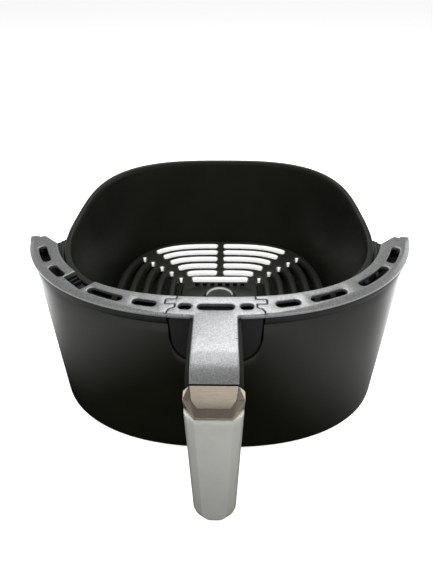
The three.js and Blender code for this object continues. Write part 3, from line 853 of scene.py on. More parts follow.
@dataclass
class Pan:
    """The drawn pan with its rolled rim and the steel straps welded to it."""

    rim_half: float = 114.9
    wall_half: float = 112.2
    foot_half: float = 105.0
    corner_top: float = 11.0
    thickness: float = 1.6
    power: float = 2.9
    longer: float = 0.4
    around: int = 288
    strap_gap: float = 0.35

    def __post_init__(self) -> None:
        """Takes the pan's height from the frame."""
        self.top = float(node_mm("pan_shell")[1][2])

    def wall(self, z: Array | float) -> Array | float:
        """Half-width of the outside at a height on the straight wall."""
        share = (z - self.corner_top) / (self.top - self.corner_top)
        return self.foot_half + (self.wall_half - self.foot_half) * share

    def rings(self, profile: Array) -> Array:
        """Rounded squares for a profile of half-widths and heights."""
        plan = rounded_square(profile[:, 0], self.power, self.longer, self.around)
        z = np.broadcast_to(profile[:, 1, None, None], (*plan.shape[:2], 1))
        return np.concatenate([plan, z], axis=2)

    def shell(self) -> Shell:
        """The pan: a profile of half-width and height carried round the rounded square.

        The profile runs from the middle of the underside, over a pressed step, round the
        corner, up the wall, over the rolled rim and back down inside to the middle of the floor.
        """
        t = self.thickness
        top = self.top
        under = self.wall(112.4)
        corners = [
            (2.0, 1.0), (40.0, 1.0), (78.0, 1.0), (80.5, 0.0), (98.0, 0.0), (105.0, 2.0),
            (self.wall(18.0), 18.0), (under, 112.2), (self.rim_half - 0.3, 112.8),
            (self.rim_half, top - 0.2), (under - t + 0.7, top), (under - t - 0.3, 112.4),
            (self.wall(18.0) - t, 18.0), (105.0 - t, 2.0 + t), (97.0, t), (80.5, t),
            (78.0, 1.0 + t), (40.0, 1.0 + t), (2.0, 1.0 + t),
        ]
        radii = [0, 0, 2, 2, 6, 9, 6, 0.8, 0.7, 0.9, 0.9, 1.4, 6, 8, 5, 2, 2, 0, 0]
        profile = rounded(corners, radii, steps=6, closed=False)
        return stacked(self.rings(resample(profile, 9.0)))

    def strap(self, thickness: float, x0: float, x1: float, z0: float, z1: float) -> Shell:
        """A strap against the front wall between two x and two heights.

        The inner face is the pan's outside moved out by a small gap, the outer face by the gap
        and the thickness.

        Args:
            thickness: the strap's thickness.
            x0: its left end.
            x1: its right end.
            z0: its lower edge.
            z1: its upper edge.

        Returns:
            The shell.
        """
        x, z = np.meshgrid(np.linspace(x0, x1, 40), np.linspace(z0, z1, 8))
        def face(out: float) -> Array:
            """The wall's outside, moved out."""
            half = self.wall(z) + out
            share = 1 - (np.abs(x) / half) ** self.power
            reach = (half + self.longer) * share ** (1 / self.power)
            return np.stack([x, -reach, z], axis=2)
        return between(face(self.strap_gap), face(self.strap_gap + thickness))

    def side_strap(self, side: int, thickness: float, y0: float, y1: float, z0: float,
                   z1: float) -> Shell:
        """A strap against a side wall between two y and two heights, made as strap is."""
        y, z = np.meshgrid(np.linspace(y0, y1, 24), np.linspace(z0, z1, 8))
        def face(out: float) -> Array:
            """The wall's outside, moved out."""
            half = self.wall(z) + out
            share = 1 - (np.abs(y) / (half + self.longer)) ** self.power
            return np.stack([side * half * share ** (1 / self.power), y, z], axis=2)
        return between(face(self.strap_gap), face(self.strap_gap + thickness))

    def build(self) -> None:
        """Makes the pan and its three steel brackets."""
        piece("pan", [self.shell()], Slot.COATING, "drawer", ["pan_shell"])
        low, high = node_mm("front_bracket")
        flange = block((-23, low[1], high[2] - 1.5), (23, -self.wall(93) - 0.9, high[2]), 0.6)
        strap = self.strap(1.5, low[0], high[0], low[2], high[2])
        piece("front_bracket_steel", [strap, flange], Slot.STEEL, "drawer", ["front_bracket"])
        for side, word in ((-1, "left"), (1, "right")):
            low, high = node_mm(f"side_bracket_{word}")
            back = low[1] + 1.5
            near = self.side_strap(side, 1.5, low[1], high[1], low[2], high[2])
            inner = 106.4
            outer = max(abs(low[0]), abs(high[0]))
            xs = sorted((side * inner, side * outer))
            ear = block((xs[0], low[1], low[2]), (xs[1], back, high[2]), 0.5)
            piece(f"side_bracket_{word}_steel", [near, ear], Slot.STEEL, "drawer",
                  [f"side_bracket_{word}"])


@dataclass(frozen=True)
class SlotRing:
    """One ring of long slots: its half-size, the squareness of its curve and the slots' reach."""

    half: float
    power: float
    across: float
    along: float


@dataclass
class CrisperPlate:
    """The pressed plate: rings of long slots with rolled lips, a raised dome, legs and feet."""

    half: float = 101.0
    sheet: float = 1.3
    slot_width: float = 5.0
    lip_reach: float = 2.3
    lip_drop: float = 5.0
    spine: float = 7.6
    rings: tuple[SlotRing, ...] = (
        SlotRing(90.6, 3.3, 68.5, 66.0), SlotRing(77.9, 3.6, 60.0, 57.5),
        SlotRing(65.1, 4.0, 51.5, 49.0), SlotRing(52.3, 4.6, 42.5, 40.0),
        SlotRing(39.7, 5.6, 32.5, 29.5),
    )
    leg_reach: float = 96.0

    def __post_init__(self) -> None:
        """Takes the plate's heights from the frame."""
        self.low, self.high = node_mm("crisper_plate")
        self.top = float(self.high[2]) - 2.4

    def long_slot(self, ring: SlotRing, start: float, stop: float, quarter: int) -> Array:
        """One long slot with round ends, following its ring.

        The middle line has v = half * (1 - |u/half|^power)^(1/power). It is turned by quarters.

        Args:
            ring: the slot's ring.
            start: u where the slot starts.
            stop: u where it stops.
            quarter: how many quarter turns.

        Returns:
            The closed outline, counter-clockwise.
        """
        curve = FrontCurve(ring.half, ring.half, 0.0, ring.power)
        outline = curve.slot(start, stop, self.slot_width, count=22)
        angle = quarter * math.pi / 2
        turn = np.array([[math.cos(angle), -math.sin(angle)], [math.sin(angle), math.cos(angle)]])
        return outline @ turn.T

    def side_slots(self) -> list[Array]:
        """The outlines of the long slots that run from front to back."""
        return [self.long_slot(ring, -ring.along, ring.along, quarter)
                for ring in self.rings for quarter in (1, 3)]

    def cross_slots(self) -> list[Array]:
        """The outlines of the long slots that run from side to side."""
        found: list[Array] = []
        gap = self.spine / 2
        for ring in self.rings:
            for quarter in (0, 2):
                found.append(self.long_slot(ring, gap, ring.across, quarter))
                found.append(self.long_slot(ring, -ring.across, -gap, quarter))
        half = self.slot_width / 2
        corners = np.array([(-27, -half), (27, -half), (27, half), (-27, half)])
        bar = rounded(corners, half - 0.05, steps=8)
        return [*found, bar + np.array([0.0, -28.3]), bar + np.array([0.0, 28.3])]

    def square_slots(self) -> list[Array]:
        """The outlines of the two rows of small slots beside the dome."""
        corners = np.array([(-1.9, -3.2), (1.9, -3.2), (1.9, 3.2), (-1.9, 3.2)])
        small = rounded(corners, 0.8, steps=3)
        return [small + np.array([7.4 * i, side * 19.3]) for side in (-1, 1)
                for i in range(-3, 4)]

    def pressed(self) -> tuple[Shell, Array, Array, Array]:
        """The pressed sheet.

        Long slots have a rolled lip: inset reach * (1 - sin a) and drop depth * (1 - cos a) for
        a from 0 to a right angle, so the lip is level where it leaves the face and upright at
        the opening. The outer edge is turned down over a round shoulder.

        Returns:
            The shell, and the numbers of the points on the cross slots' lips, on the side
            slots' lips and on the dome's ridge.
        """
        a = np.linspace(0.0, math.pi / 2, 9)
        reach = self.lip_reach
        lip_in = np.stack([reach * (1 - np.sin(a)), self.lip_drop * (1 - np.cos(a))], axis=1)
        inner = np.stack([
            reach + 0.3 - (reach - 0.6) * np.sin(a), self.sheet
            + (self.lip_drop - self.sheet) * (1 - np.cos(a)),
        ], axis=1)
        long_rim = np.concatenate([lip_in, inner[::-1]])
        shoulder = 1.7
        edge = np.stack([shoulder * (1 - np.sin(a)), shoulder * (1 - np.cos(a))], axis=1)
        t = self.sheet
        back = np.stack([t + (shoulder - t) * (1 - np.sin(a)) + 0.2,
                         t + (shoulder - t) * (1 - np.cos(a))], axis=1)
        outer_rim = np.concatenate([edge, [[0.0, 5.4], [t, 5.4]], back[::-1]])
        outer = rounded_square(np.array([self.half]), 2.9, 0.4, 240)[0]
        plain = np.array([[0.5, 0.0], [0.12, 0.15], [0.0, 0.5], [0.0, self.sheet - 0.3],
                          [0.3, self.sheet]])
        shell = Shell()
        tops: list[Array] = []
        floors: list[Array] = []
        dome_edge = rounded_square(np.array([15.6]), 2.0, 0.0, 72)[0]
        lips: list[Array] = []
        loops = [(outer, outer_rim, -1.0)]
        loops += [(loop, plain, 1.0) for loop in self.square_slots()]
        loops += [(dome_edge, None, 1.0)]
        sides = self.side_slots()
        loops += [(loop, long_rim, 1.0) for loop in [*self.cross_slots(), *sides]]
        for loop, rim, sign in loops:
            if rim is None:
                ridge = self.dome(shell, loop, tops, floors)
                continue
            plan = loop[None] + sign * normals_of(loop)[None] * rim[:, None, :1]
            z = np.broadcast_to(self.top - rim[:, 1, None, None], (*plan.shape[:2], 1))
            numbers = shell.put(np.concatenate([plan, z], axis=2))
            shell.weave(numbers if sign < 0 else numbers[:, ::-1], wrap=True)
            tops.append(numbers[0])
            floors.append(numbers[-1])
            if rim is long_rim:
                lips.append(numbers[:len(a)].ravel())
        shell.fill(tops, up=False)
        shell.fill(floors, up=True)
        split = len(lips) - len(sides)
        return shell, np.concatenate(lips[:split]), np.concatenate(lips[split:]), ridge

    def dome(self, shell: Shell, edge: Array, tops: list[Array], floors: list[Array]) -> Array:
        """The raised ring and shallow dome in the middle, and the hollow under it.

        Both faces are rings scaled down from the edge. The height over the face is a bell-shaped
        ring of 1.7 at 0.86 of the radius on a plateau of 0.6.

        Args:
            shell: the plate's shell, which gets the dome's points.
            edge: the dome's outline.
            tops: loops that bound the flat top; the dome's is added.
            floors: loops that bound the flat underside; the dome's is added.

        Returns:
            The numbers of the points on the ridge's inner slope.
        """
        r = np.linspace(1.0, 0.02, 26)
        ridge = 1.7 * np.exp(-((r - 0.86) / 0.085) ** 2) * smooth(1.0, 0.97, r)
        lift = ridge + 0.6 * smooth(1.0, 0.75, r)
        def face(offset: float) -> Array:
            """The dome's rings, moved down by an offset."""
            plan = edge[None] * r[:, None, None]
            z = np.broadcast_to((self.top + lift - offset)[:, None, None], (*plan.shape[:2], 1))
            return np.concatenate([plan, z], axis=2)
        up = shell.put(face(0.0))
        down = shell.put(face(self.sheet))
        shell.weave(up[:, ::-1], wrap=True)
        shell.weave(down, wrap=True)
        shell.fan(up[-1][::-1], [0.0, 0.0, self.top + lift[-1]])
        shell.fan(down[-1], [0.0, 0.0, self.top + lift[-1] - self.sheet])
        tops.append(up[0])
        floors.append(down[0])
        return up[(r > 0.74) & (r < 0.88)].ravel()

    def leg(self, quarter: int) -> Shell:
        """A leg bent down under a spoke, set edge-on to the spoke."""
        made = block((self.leg_reach - 4, -0.75, self.low[2]), (self.leg_reach + 4, 0.75,
                     self.top - self.sheet), 0.35)
        return moved(made, Matrix.Rotation(math.radians(45 + 90 * quarter), 4, "Z"))

    def foot(self, quarter: int) -> Shell:
        """A silicone boot: a turned profile with a waist, a rounded sole and a lip on top.

        Args:
            quarter: which leg it is on, from 0 to 3.

        Returns:
            The shell.
        """
        low, high = node_mm(f"plate_foot_{quarter + 1}")
        base, top = float(low[2]), float(high[2])
        profile = rounded([
            (0.2, base), (5.6, base), (6.3, base + 1.2), (6.3, 8.6), (5.4, 9.2), (5.4, 10.8),
            (6.3, 11.4), (6.3, top - 0.4), (5.2, top), (0.2, top),
        ], 0.55, steps=3, closed=False)
        made = turned(profile, 40)
        shift = Matrix.Translation((self.leg_reach, 0.0, 0.0))
        turn = Matrix.Rotation(math.radians(45 + 90 * quarter), 4, "Z")
        return moved(made, turn @ shift)

    def build(self) -> None:
        """Makes the plate and its feet, and paints a highlight, through a point attribute, on the
        slot lips and the dome's ridge where they face the front.
        """
        sheet, lips, side_lips, ridge = self.pressed()
        legs = [self.leg(quarter) for quarter in range(4)]
        plate = piece("crisper_plate_sheet", [sheet, *legs], Slot.COATING, "plate",
                      ["crisper_plate"])
        # Painted highlight: the point attribute "lip" is near 1 on the cross slots' lips that face
        # the front and at the back ends of the side slots, where their lips face the front, and up
        # to 0.35 on the dome's ridge where it faces the front.
        highlight_mark = plate.data.attributes.new("lip", "FLOAT", "POINT")
        facing = np.zeros(len(plate.data.vertices) * 3, np.float32)
        plate.data.vertex_normals.foreach_get("vector", facing)
        value = np.zeros(len(plate.data.vertices), np.float32)
        ahead = -facing.reshape(-1, 3)[:, 1]
        level = np.linalg.norm(facing.reshape(-1, 3)[:, :2], axis=1)
        value[lips] = smooth(0.25, 0.55, ahead[lips])
        straight = ahead[side_lips] / np.maximum(level[side_lips], 1e-6)
        value[side_lips] = smooth(0.86, 0.97, straight) * smooth(0.45, 0.75, level[side_lips])
        value[ridge] = 0.35 * smooth(0.02, 0.2, ahead[ridge])
        highlight_mark.data.foreach_set("value", value)
        # The plate's material paints the marked points near white and makes them glow, as a
        # painted highlight.
        plate.data.materials.clear()
        plate.data.materials.append(
            NonStick("nonstick_coating_painted_highlights", roughness=(0.30, 0.42),
                     dark=(0.013, 0.0132, 0.0105), light=(0.021, 0.0212, 0.0175),
                     highlight_attribute="lip").material())
        for quarter in range(4):
            piece(f"silicone_foot_{quarter + 1}", [self.foot(quarter)], Slot.SILICONE, "plate",
                  [f"plate_foot_{quarter + 1}"])


# ---------------------------------------------------------------- the front


def arc(half_x: Array, half_y: Array, centre_y: Array, power: Array, end_y: Array,
        along: Array) -> Array:
    """Points of front curves, each with its own sizes.

    x = -half_x * bent(cos a) and y = centre_y - half_y * bent(sin a), with a running from the
    curve's left end at along = 0 to its right end at along = 1.

    Args:
        half_x: each curve's half-width.
        half_y: its reach to the front.
        centre_y: the y of its middle.
        power: how square it is; 2 is an ellipse.
        end_y: the y of its two ends.
        along: the points' places along it, from 0 to 1.

    Returns:
        x and y in the last axis, in the shape that the arguments give together.
    """
    reach = np.clip(centre_y - end_y, 0.0, None) / half_y
    first = np.arcsin(np.clip(reach ** (power / 2), 0.0, 1.0))
    angle = first + (math.pi - 2 * first) * along
    x = -half_x * bent(np.cos(angle), power)
    y = centre_y - half_y * bent(np.sin(angle), power)
    return np.stack(np.broadcast_arrays(x, y), axis=-1)


@dataclass(frozen=True)
class Level:
    """The fascia's plan curve at one height."""

    z: float
    half_x: float
    half_y: float
    centre_y: float
    power: float
    end_y: float


@dataclass
class Front:
    """The curved gloss fascia and the black inset round the handle's arm."""

    top: Level = Level(109.8, 138.0, 110.0, -20.0, 2.2, -45.0)
    bottom: Level = Level(1.5, 126.0, 85.6, -57.0, 2.3, -57.0)
    wall: float = 2.5
    lip: float = 9.0
    inset_half: float = 28.0
    inset_foot: float = 82.0
    core_half: float = 15.25
    core_foot: float = 90.0
    inset_back: float = 0.9
    panel_top: float = 115.6

    def surface(self, z: Array, inset: Array, along: Array) -> Array:
        """Points of the front's surface, between its two plan curves.

        Args:
            z: the points' heights.
            inset: how far they are set in.
            along: their places along the curve, from 0 to 1.

        Returns:
            x, y and z in the last axis.
        """
        share = (z - self.bottom.z) / (self.top.z - self.bottom.z)
        def mix(name: str) -> Array:
            """A size of the plan curves at the points' heights."""
            low = getattr(self.bottom, name)
            return low + (getattr(self.top, name) - low) * share
        centre = mix("centre_y")
        end = np.minimum(mix("end_y"), centre)
        plan = arc(mix("half_x") - inset, mix("half_y") - inset, centre, mix("power"), end, along)
        height = np.broadcast_to(z, plan.shape[:-1])
        return np.concatenate([plan, height[..., None]], axis=-1)

    def notch(self, x: Array) -> Array:
        """Height of the fascia's top edge, which dips round the inset.

        From the inset's side a cubic curve bends in to its flat foot.

        Args:
            x: places across the front.

        Returns:
            The edge's height at each.
        """
        t = np.linspace(0.0, 1.0, 33)
        weights = np.stack([(1 - t) ** 3, 3 * t * (1 - t) ** 2, 3 * t ** 2 * (1 - t), t ** 3])
        half, foot = self.inset_half, self.inset_foot
        across_x = np.array([half - 15, half - 5, half - 1, half]) @ weights
        up_z = np.array([foot, foot + 2, foot + 8, foot + 19]) @ weights
        bowl = np.interp(np.abs(x), across_x, up_z)
        return np.where(np.abs(x) < half, bowl, self.top.z)

    def along_at(self, x: float) -> float:
        """Where a place in x lies along the top curve, from 0 at its left end to 1."""
        top = self.top
        first = math.asin(((top.centre_y - top.end_y) / top.half_y) ** (top.power / 2))
        angle = math.acos((abs(x) / top.half_x) ** (top.power / 2))
        share = (angle - first) / (math.pi - 2 * first)
        return share if x < 0 else 1 - share

    def columns(self) -> Array:
        """Where the sections stand along the arc: closer together round the inset."""
        even = np.linspace(0.0, 1.0, 201)
        half = self.inset_half
        steps = np.concatenate([np.linspace(0.5, half - 4, 18), np.linspace(half - 3.6, half, 16)])
        close = np.array([self.along_at(x) for x in [*(-steps), *steps, -half - 0.1, half + 0.1]])
        return np.unique(np.concatenate([even[np.abs(even - 0.5) > 0.066], [0.5], close]))

    def fascia(self) -> Shell:
        """The fascia: one closed section for each column.

        The section runs down the outside from the top edge, turns under over a round edge, runs
        back to the lip and up the inside. Heights on the walls are shared out between the top
        edge of that column and the bottom.
        """
        along = self.columns()
        x = self.surface(np.array(self.top.z), np.array(0.0), along)[:, 0]
        top = self.notch(x)[:, None]
        z0 = self.bottom.z
        down = np.linspace(0.0, 1.0, 16)[None]
        outer = top - 0.6 - (top - 0.6 - z0 - 5.0) * down
        w = self.wall
        inner = (z0 + 6.0) + (top - 0.6 - z0 - 6.0) * down
        def row(z: Array | float, inset: float) -> tuple[Array, Array]:
            """One row's heights and insets."""
            height = np.broadcast_to(z, (len(along), 1)) + np.zeros((1, 1))
            return height, np.full_like(height, inset)
        rows = [row(top, 0.75), row(top - 0.08, 0.35), row(top - 0.3, 0.08)]
        rows += [(outer, np.zeros_like(outer))]
        rows += [row(z0 + up, into) for up, into in (
            (3.6, 0.15), (2.4, 0.7), (1.35, 1.6), (0.6, 2.7), (0.15, 4.0), (0.0, 5.4),
            (0.0, self.lip - 0.4), (0.4, self.lip), (w - 0.4, self.lip), (w, self.lip - 0.4),
            (w, 5.2), (w + 0.8, 3.6), (w + 2.2, 2.7),
        )]
        rows += [(inner, np.full_like(inner, w)), row(top - 0.2, w - 0.2), row(top, w - 0.6)]
        z = np.concatenate([height for height, _ in rows], axis=1)
        inset = np.concatenate([into for _, into in rows], axis=1)
        return looped(self.surface(z, inset, along[:, None]))

    def panel(self) -> Shell:
        """The inset: a panel set back from the fascia's face, with a gateway for the arm.

        Each column runs from just over the notch to the top, or to the foot of the gateway.
        """
        half = self.inset_half - 0.5
        gate = self.core_half
        x = np.unique(np.concatenate([np.linspace(-half, half, 57), [-gate, gate],
                                      [-gate - 0.08, gate + 0.08]]))
        low = self.notch(x * self.inset_half / half) + 0.5
        high = np.where(np.abs(x) <= gate, self.core_foot, self.panel_top)
        share = np.linspace(0.0, 1.0, 14)[:, None]
        z = low + (high - low) * share
        def face(inset: float) -> Array:
            """The panel's face, set in from the front's surface."""
            levels = (z - self.bottom.z) / (self.top.z - self.bottom.z)
            def mix(name: str) -> Array:
                """A size of the plan curves at the points' heights."""
                start = getattr(self.bottom, name)
                return start + (getattr(self.top, name) - start) * levels
            inside = 1 - (np.abs(x) / (mix("half_x") - inset)) ** mix("power")
            y = mix("centre_y") - (mix("half_y") - inset) * inside ** (1 / mix("power"))
            return np.stack([np.broadcast_to(x, z.shape), y, z], axis=2)
        return between(face(self.inset_back), face(self.wall))

    def build(self) -> None:
        """Makes the fascia and the inset."""
        piece("fascia", [self.fascia()], Slot.GLOSS, "drawer", ["front_fascia"])
        piece("arm_inset", [self.panel()], Slot.SATIN, "drawer", ["handle_inset"])


@dataclass
class InnerFrame:
    """The moulded frame between the pan and the fascia: a channel with a stepped lip, the ledge
    with three fins under the left wing's notch, and the hooks in the wings' slots."""

    front: Front
    pan: Pan
    collar: "Collar"
    foot: float = 13.0
    top: float = 109.8
    wall: float = 2.2
    set_in: float = 3.1
    off_pan: float = 2.6
    end_y: float = -38.0
    band: tuple[tuple[float, float], ...] = ((0.9, 0.3), (0.8, 1.0), (0.8, 5.0), (1.0, 5.5),
                                             (2.2, 5.6), (2.5, 5.3), (2.5, 0.3), (2.2, 0.0))
    band_foot: float = 110.05
    door_half: float = 29.0
    door_foot: float = 68.0
    ledge_at: tuple[float, float] = (-88.6, -99.4)
    ledge_turn: float = -0.74
    fins_at: tuple[float, ...] = (-7.6, -3.9, 0.2)

    def channel(self) -> Shell:
        """The channel: one closed section for each column, open downwards.

        Each section point lies on the fascia's curve or on the pan's, set off by a distance.
        """
        door = [self.front.along_at(x) for x in (-self.door_half, self.door_half)]
        even = np.linspace(0.0, 1.0, 141)
        along = np.unique(np.concatenate([even, door]))
        x = self.front.surface(np.array(self.top), np.array(0.0), along)[:, 0]
        top = np.where(np.abs(x) < self.door_half, self.door_foot, self.top)
        w = self.wall
        def outer(z: Array | float, off: float) -> Array:
            """A row against the front's inside."""
            height = np.broadcast_to(z, along.shape)
            return self.front.surface(height, np.full(along.shape, self.set_in + off), along)
        def inner(z: Array | float, off: float) -> Array:
            """A row against the pan's outside."""
            height = np.broadcast_to(z, along.shape)
            half = self.pan.wall(height) + self.off_pan + off
            end = np.full(along.shape, self.end_y)
            flat = np.zeros(along.shape)
            power = np.full(along.shape, self.pan.power)
            plan = arc(half, half + self.pan.longer, flat, power, end, along)
            return np.concatenate([plan, height[:, None]], axis=1)
        foot = self.foot
        rows = [outer(foot, 0.0), outer(foot + (top - foot) * 0.5, 0.0), outer(top - 0.5, 0.0),
                outer(top - 0.1, 0.2), outer(top, 0.6), inner(top, 5.8), inner(top + 0.2, 5.5),
                inner(top + 0.9, 5.3), inner(top + 1.1, 5.0), inner(top + 1.1, 3.4),
                inner(top + 1.3, 3.1), inner(top + 2.0, 2.9), inner(top + 2.2, 2.6),
                inner(top + 2.2, 1.5), inner(top + 2.0, 1.2), inner(top + 0.6, 1.0),
                inner(top + 0.4, 0.7), inner(top + 0.4, 0.2), inner(top - 1.0, 0.0),
                inner(foot + (top - foot) * 0.5, 0.0), inner(foot, 0.0), inner(foot, w),
                inner(foot + (top - foot) * 0.5, w), inner(top - w, w), outer(top - w, w),
                outer(foot + (top - foot) * 0.5, w), outer(foot, w)]
        return looped(np.stack(rows, axis=1))

    def shadow_bands(self) -> list[Shell]:
        """The dark band between the collar and the fascia, on each side of the inset.

        Each column's section is the band's outline of inset and height on the collar's curve.
        """
        curve = self.collar.outer
        inset, up = np.array(self.band).T
        found = []
        for x0, x1 in ((0.0, self.front.along_at(-28.3)), (self.front.along_at(28.3), 1.0)):
            along = np.linspace(x0, x1, 90)[:, None]
            plan = arc(curve.half_x - inset, curve.half_y - inset, np.array(curve.centre_y),
                       curve.power, np.array(curve.end_y), along)
            z = np.broadcast_to(self.band_foot + up, plan.shape[:2])
            found.append(looped(np.concatenate([plan, z[..., None]], axis=2)))
        return found

    def ledge(self) -> list[Shell]:
        """The ledge and its fins, turned to face the notch."""
        turn = Matrix.Rotation(self.ledge_turn, 4, "Z")
        place = Matrix.Translation((*self.ledge_at, 0.0)) @ turn
        shelf = block((-8.4, -2.9, 109.0), (8.4, 3.4, 115.4), 0.4)
        fins = [block((x - 0.5, -2.5, 114.6), (x + 0.5, 3.2, 118.0), 0.3) for x in self.fins_at]
        return [moved(made, place) for made in (shelf, *fins)]

    def hooks(self) -> list[Shell]:
        """The snap hooks: a post with a nose, standing in a slot along its line."""
        found = []
        for x in (61.0, 71.0, 95.0, 104.0, -62.0):
            y = float(self.collar.slot_line.at(np.array([x]))[0])
            lean = self.collar.slot_line.out(np.array([x]))[0]
            turn = math.atan2(-lean[0], -lean[1])
            nose = np.array([(0.3, 109.2), (2.3, 109.2), (2.3, 115.0), (2.4, 117.2),
                             (1.9, 117.6), (0.2, 115.9), (0.3, 115.4)])
            post = across(rounded(nose, 0.25, steps=3), 1.9, 0.2)
            found.append(moved(post, Matrix.Translation((x, y, 0.0))
                               @ Matrix.Rotation(-turn, 4, "Z")))
        return found

    def build(self) -> None:
        """Makes the frame and the insulating pad."""
        shells = [self.channel(), *self.shadow_bands(), *self.ledge(), *self.hooks()]
        piece("inner_frame", shells, Slot.SATIN, "drawer", ["drawer_frame"])
        low, high = node_mm("heat_pad")
        piece("insulating_pad", [block(low, high, 0.3)], Slot.PAD, "drawer", ["heat_pad"])


# ---------------------------------------------------------------- the collar and the handle


@dataclass
class Collar:
    """The slotted collar over the rim: two wings and the handle's cap, locked by tabs."""

    outer: FrontCurve = FrontCurve(139.5, 111.5, -20.0, 2.2, -44.6)
    inner: FrontCurve = FrontCurve(121.5, 114.2, 0.0, 2.6, -53.6)
    slot_line: FrontCurve = FrontCurve(130.0, 103.8, -20.0, 2.25)
    heel: tuple[tuple[float, float], ...] = ((131, -43.8), (130.2, -45.4), (126.6, -43.6),
                                             (119, -50.2))
    seam: tuple[tuple[float, float], ...] = ((23.4, -116.6), (30, -116.6), (30, -121),
                                             (24, -121), (24, -124.2), (27, -125.4),
                                             (28.3, -128))
    right_slots: tuple[tuple[float, float], ...] = ((35, 49.5), (56, 78.5), (88, 110),
                                                    (113.4, 123.6))
    left_slots: tuple[tuple[float, float], ...] = ((35, 49.5), (56, 78.5), (98.5, 109.4),
                                                   (113.4, 123.6))
    cap_slots: tuple[tuple[float, float], ...] = ((-10.8, 10.8), (14.2, 22), (-22, -14.2))
    slot_width: float = 5.6
    top: float = 119.0
    deck: float = 2.4
    skirt_drop: float = 8.6
    seam_gap: float = 0.2
    notch_at: tuple[float, float] = (88.6, -99.4)
    notch_turn: float = 0.74
    notch_half: float = 9.5
    notch_out: float = 3.1
    arm_half: float = 12.6
    arm_flat_end: float = -150.0

    def notched(self, line: Array) -> Array:
        """Cuts the notch over the ledge into the inner arc.

        Args:
            line: the arc, from right to left.

        Returns:
            The arc with the notch.
        """
        c, s = math.cos(self.notch_turn), math.sin(self.notch_turn)
        local = (line - np.array(self.notch_at)) @ np.array([[c, -s], [s, c]])
        u, v = local[:, 0], local[:, 1]
        half = self.notch_half
        before = local[u > half + 0.6]
        after = local[u < -half - 0.6]
        edge_v = np.interp([-half, half], u[::-1], v[::-1])
        box = [before[-1], (half, edge_v[1]), (half, -self.notch_out), (-half, -self.notch_out),
               (-half, edge_v[0]), after[0]]
        cut = resample(rounded(box, [0, 0.5, 1.2, 1.2, 0.5, 0], steps=4, closed=False), 1.5)
        joined = np.concatenate([before, cut[1:-1], after])
        return joined @ np.array([[c, s], [-s, c]]) + np.array(self.notch_at)

    def wing(self, side: int) -> tuple[Array, Array, Array, Array]:
        """A wing's outline, with what its edge does at each point.

        Args:
            side: -1 for the left wing and 1 for the right one.

        Returns:
            The outline, counter-clockwise; the share of the outer skirt's profile; how far the
            plain edge goes down; and how far it is set in.
        """
        start, end = self.seam[-1][0], self.seam[0][0]
        front = self.outer.points(self.outer.angles(321))
        front = front[front[:, 0] > start + 0.6]
        front = np.concatenate([[[start, self.outer.at(np.array(start))]], front])
        back = self.inner.points(self.inner.angles(281))[::-1]
        back = back[back[:, 0] > end + 0.5]
        if side < 0:
            back = self.notched(back)
        corner = [end, float(self.inner.at(np.array(end)))]
        heel = rounded([front[-1], *self.heel, back[0]], [0, 0.7, 0.7, 1.5, 4.5, 0], steps=4,
                       closed=False)
        heel = resample(heel, 1.5)[1:-1]
        seam = rounded([corner, *self.seam, front[0]], 0.6, steps=3, closed=False)
        seam = resample(seam, 1.0)[:-1]
        deep = self.skirt_drop
        behind = 3.2 + (deep - 3.2) * smooth(104.0, 112.0, back[:, 0])
        outline = np.concatenate([front, heel, back, seam])
        sizes = [len(front), len(heel), len(back), len(seam)]
        skirt = np.repeat([1.0, 0.0, 0.0, 0.0], sizes)
        foot = np.concatenate([np.full(sizes[0], deep), np.full(sizes[1], deep), behind,
                               np.full(sizes[3], 3.2)])
        gap = np.repeat([0.0, 0.0, 0.0, self.seam_gap], sizes)
        if side > 0:
            return outline, skirt, foot, gap
        mirrored = outline[::-1] * np.array([-1.0, 1.0])
        return mirrored, skirt[::-1], foot[::-1], gap[::-1]

    def cap(self) -> tuple[Array, Array, Array, Array]:
        """The cap's outline, as wing gives it, with the flat part of the arm."""
        start, end = self.seam[-1][0], self.seam[0][0]
        arm = self.arm_half
        front = self.outer.points(self.outer.angles(801))
        right = front[(front[:, 0] > arm + 2.2) & (front[:, 0] < start - 0.2)]
        root = float(self.outer.at(np.array(arm)))
        tip = self.arm_flat_end
        side = rounded([(arm, tip), (arm, root), right[0]], [0, 2.0, 0], steps=6, closed=False)
        side = resample(side, 1.5)[:-1]
        last = [[start, float(self.outer.at(np.array(start)))]]
        inner_end = [end, float(self.inner.at(np.array(end)))]
        seam = rounded([last[0], *self.seam[::-1], inner_end], 0.6, steps=3, closed=False)
        seam = resample(seam, 1.0)
        back = self.inner.points(self.inner.angles(481))[::-1]
        back = back[(back[:, 0] > 0.1) & (back[:, 0] < end - 0.3)]
        half = np.concatenate([side, right, seam, back])
        sizes = [len(side), len(right), len(seam), len(back)]
        skirt = np.repeat([0.0, 1.0, 0.0, 0.0], sizes)
        foot = np.repeat([2.6, self.skirt_drop, 3.2, 3.2], sizes)
        gap = np.repeat([0.0, 0.0, self.seam_gap, 0.0], sizes)
        mirror = half[::-1] * np.array([-1.0, 1.0])
        tip_line = np.array([[x, tip] for x in np.linspace(-arm, arm, 9)[1:-1]])
        outline = np.concatenate([half, mirror, tip_line])
        blank = np.zeros(len(tip_line))
        return (outline, np.concatenate([skirt, skirt[::-1], blank]),
                np.concatenate([foot, foot[::-1], blank + 2.6]),
                np.concatenate([gap, gap[::-1], blank - 1.0]))

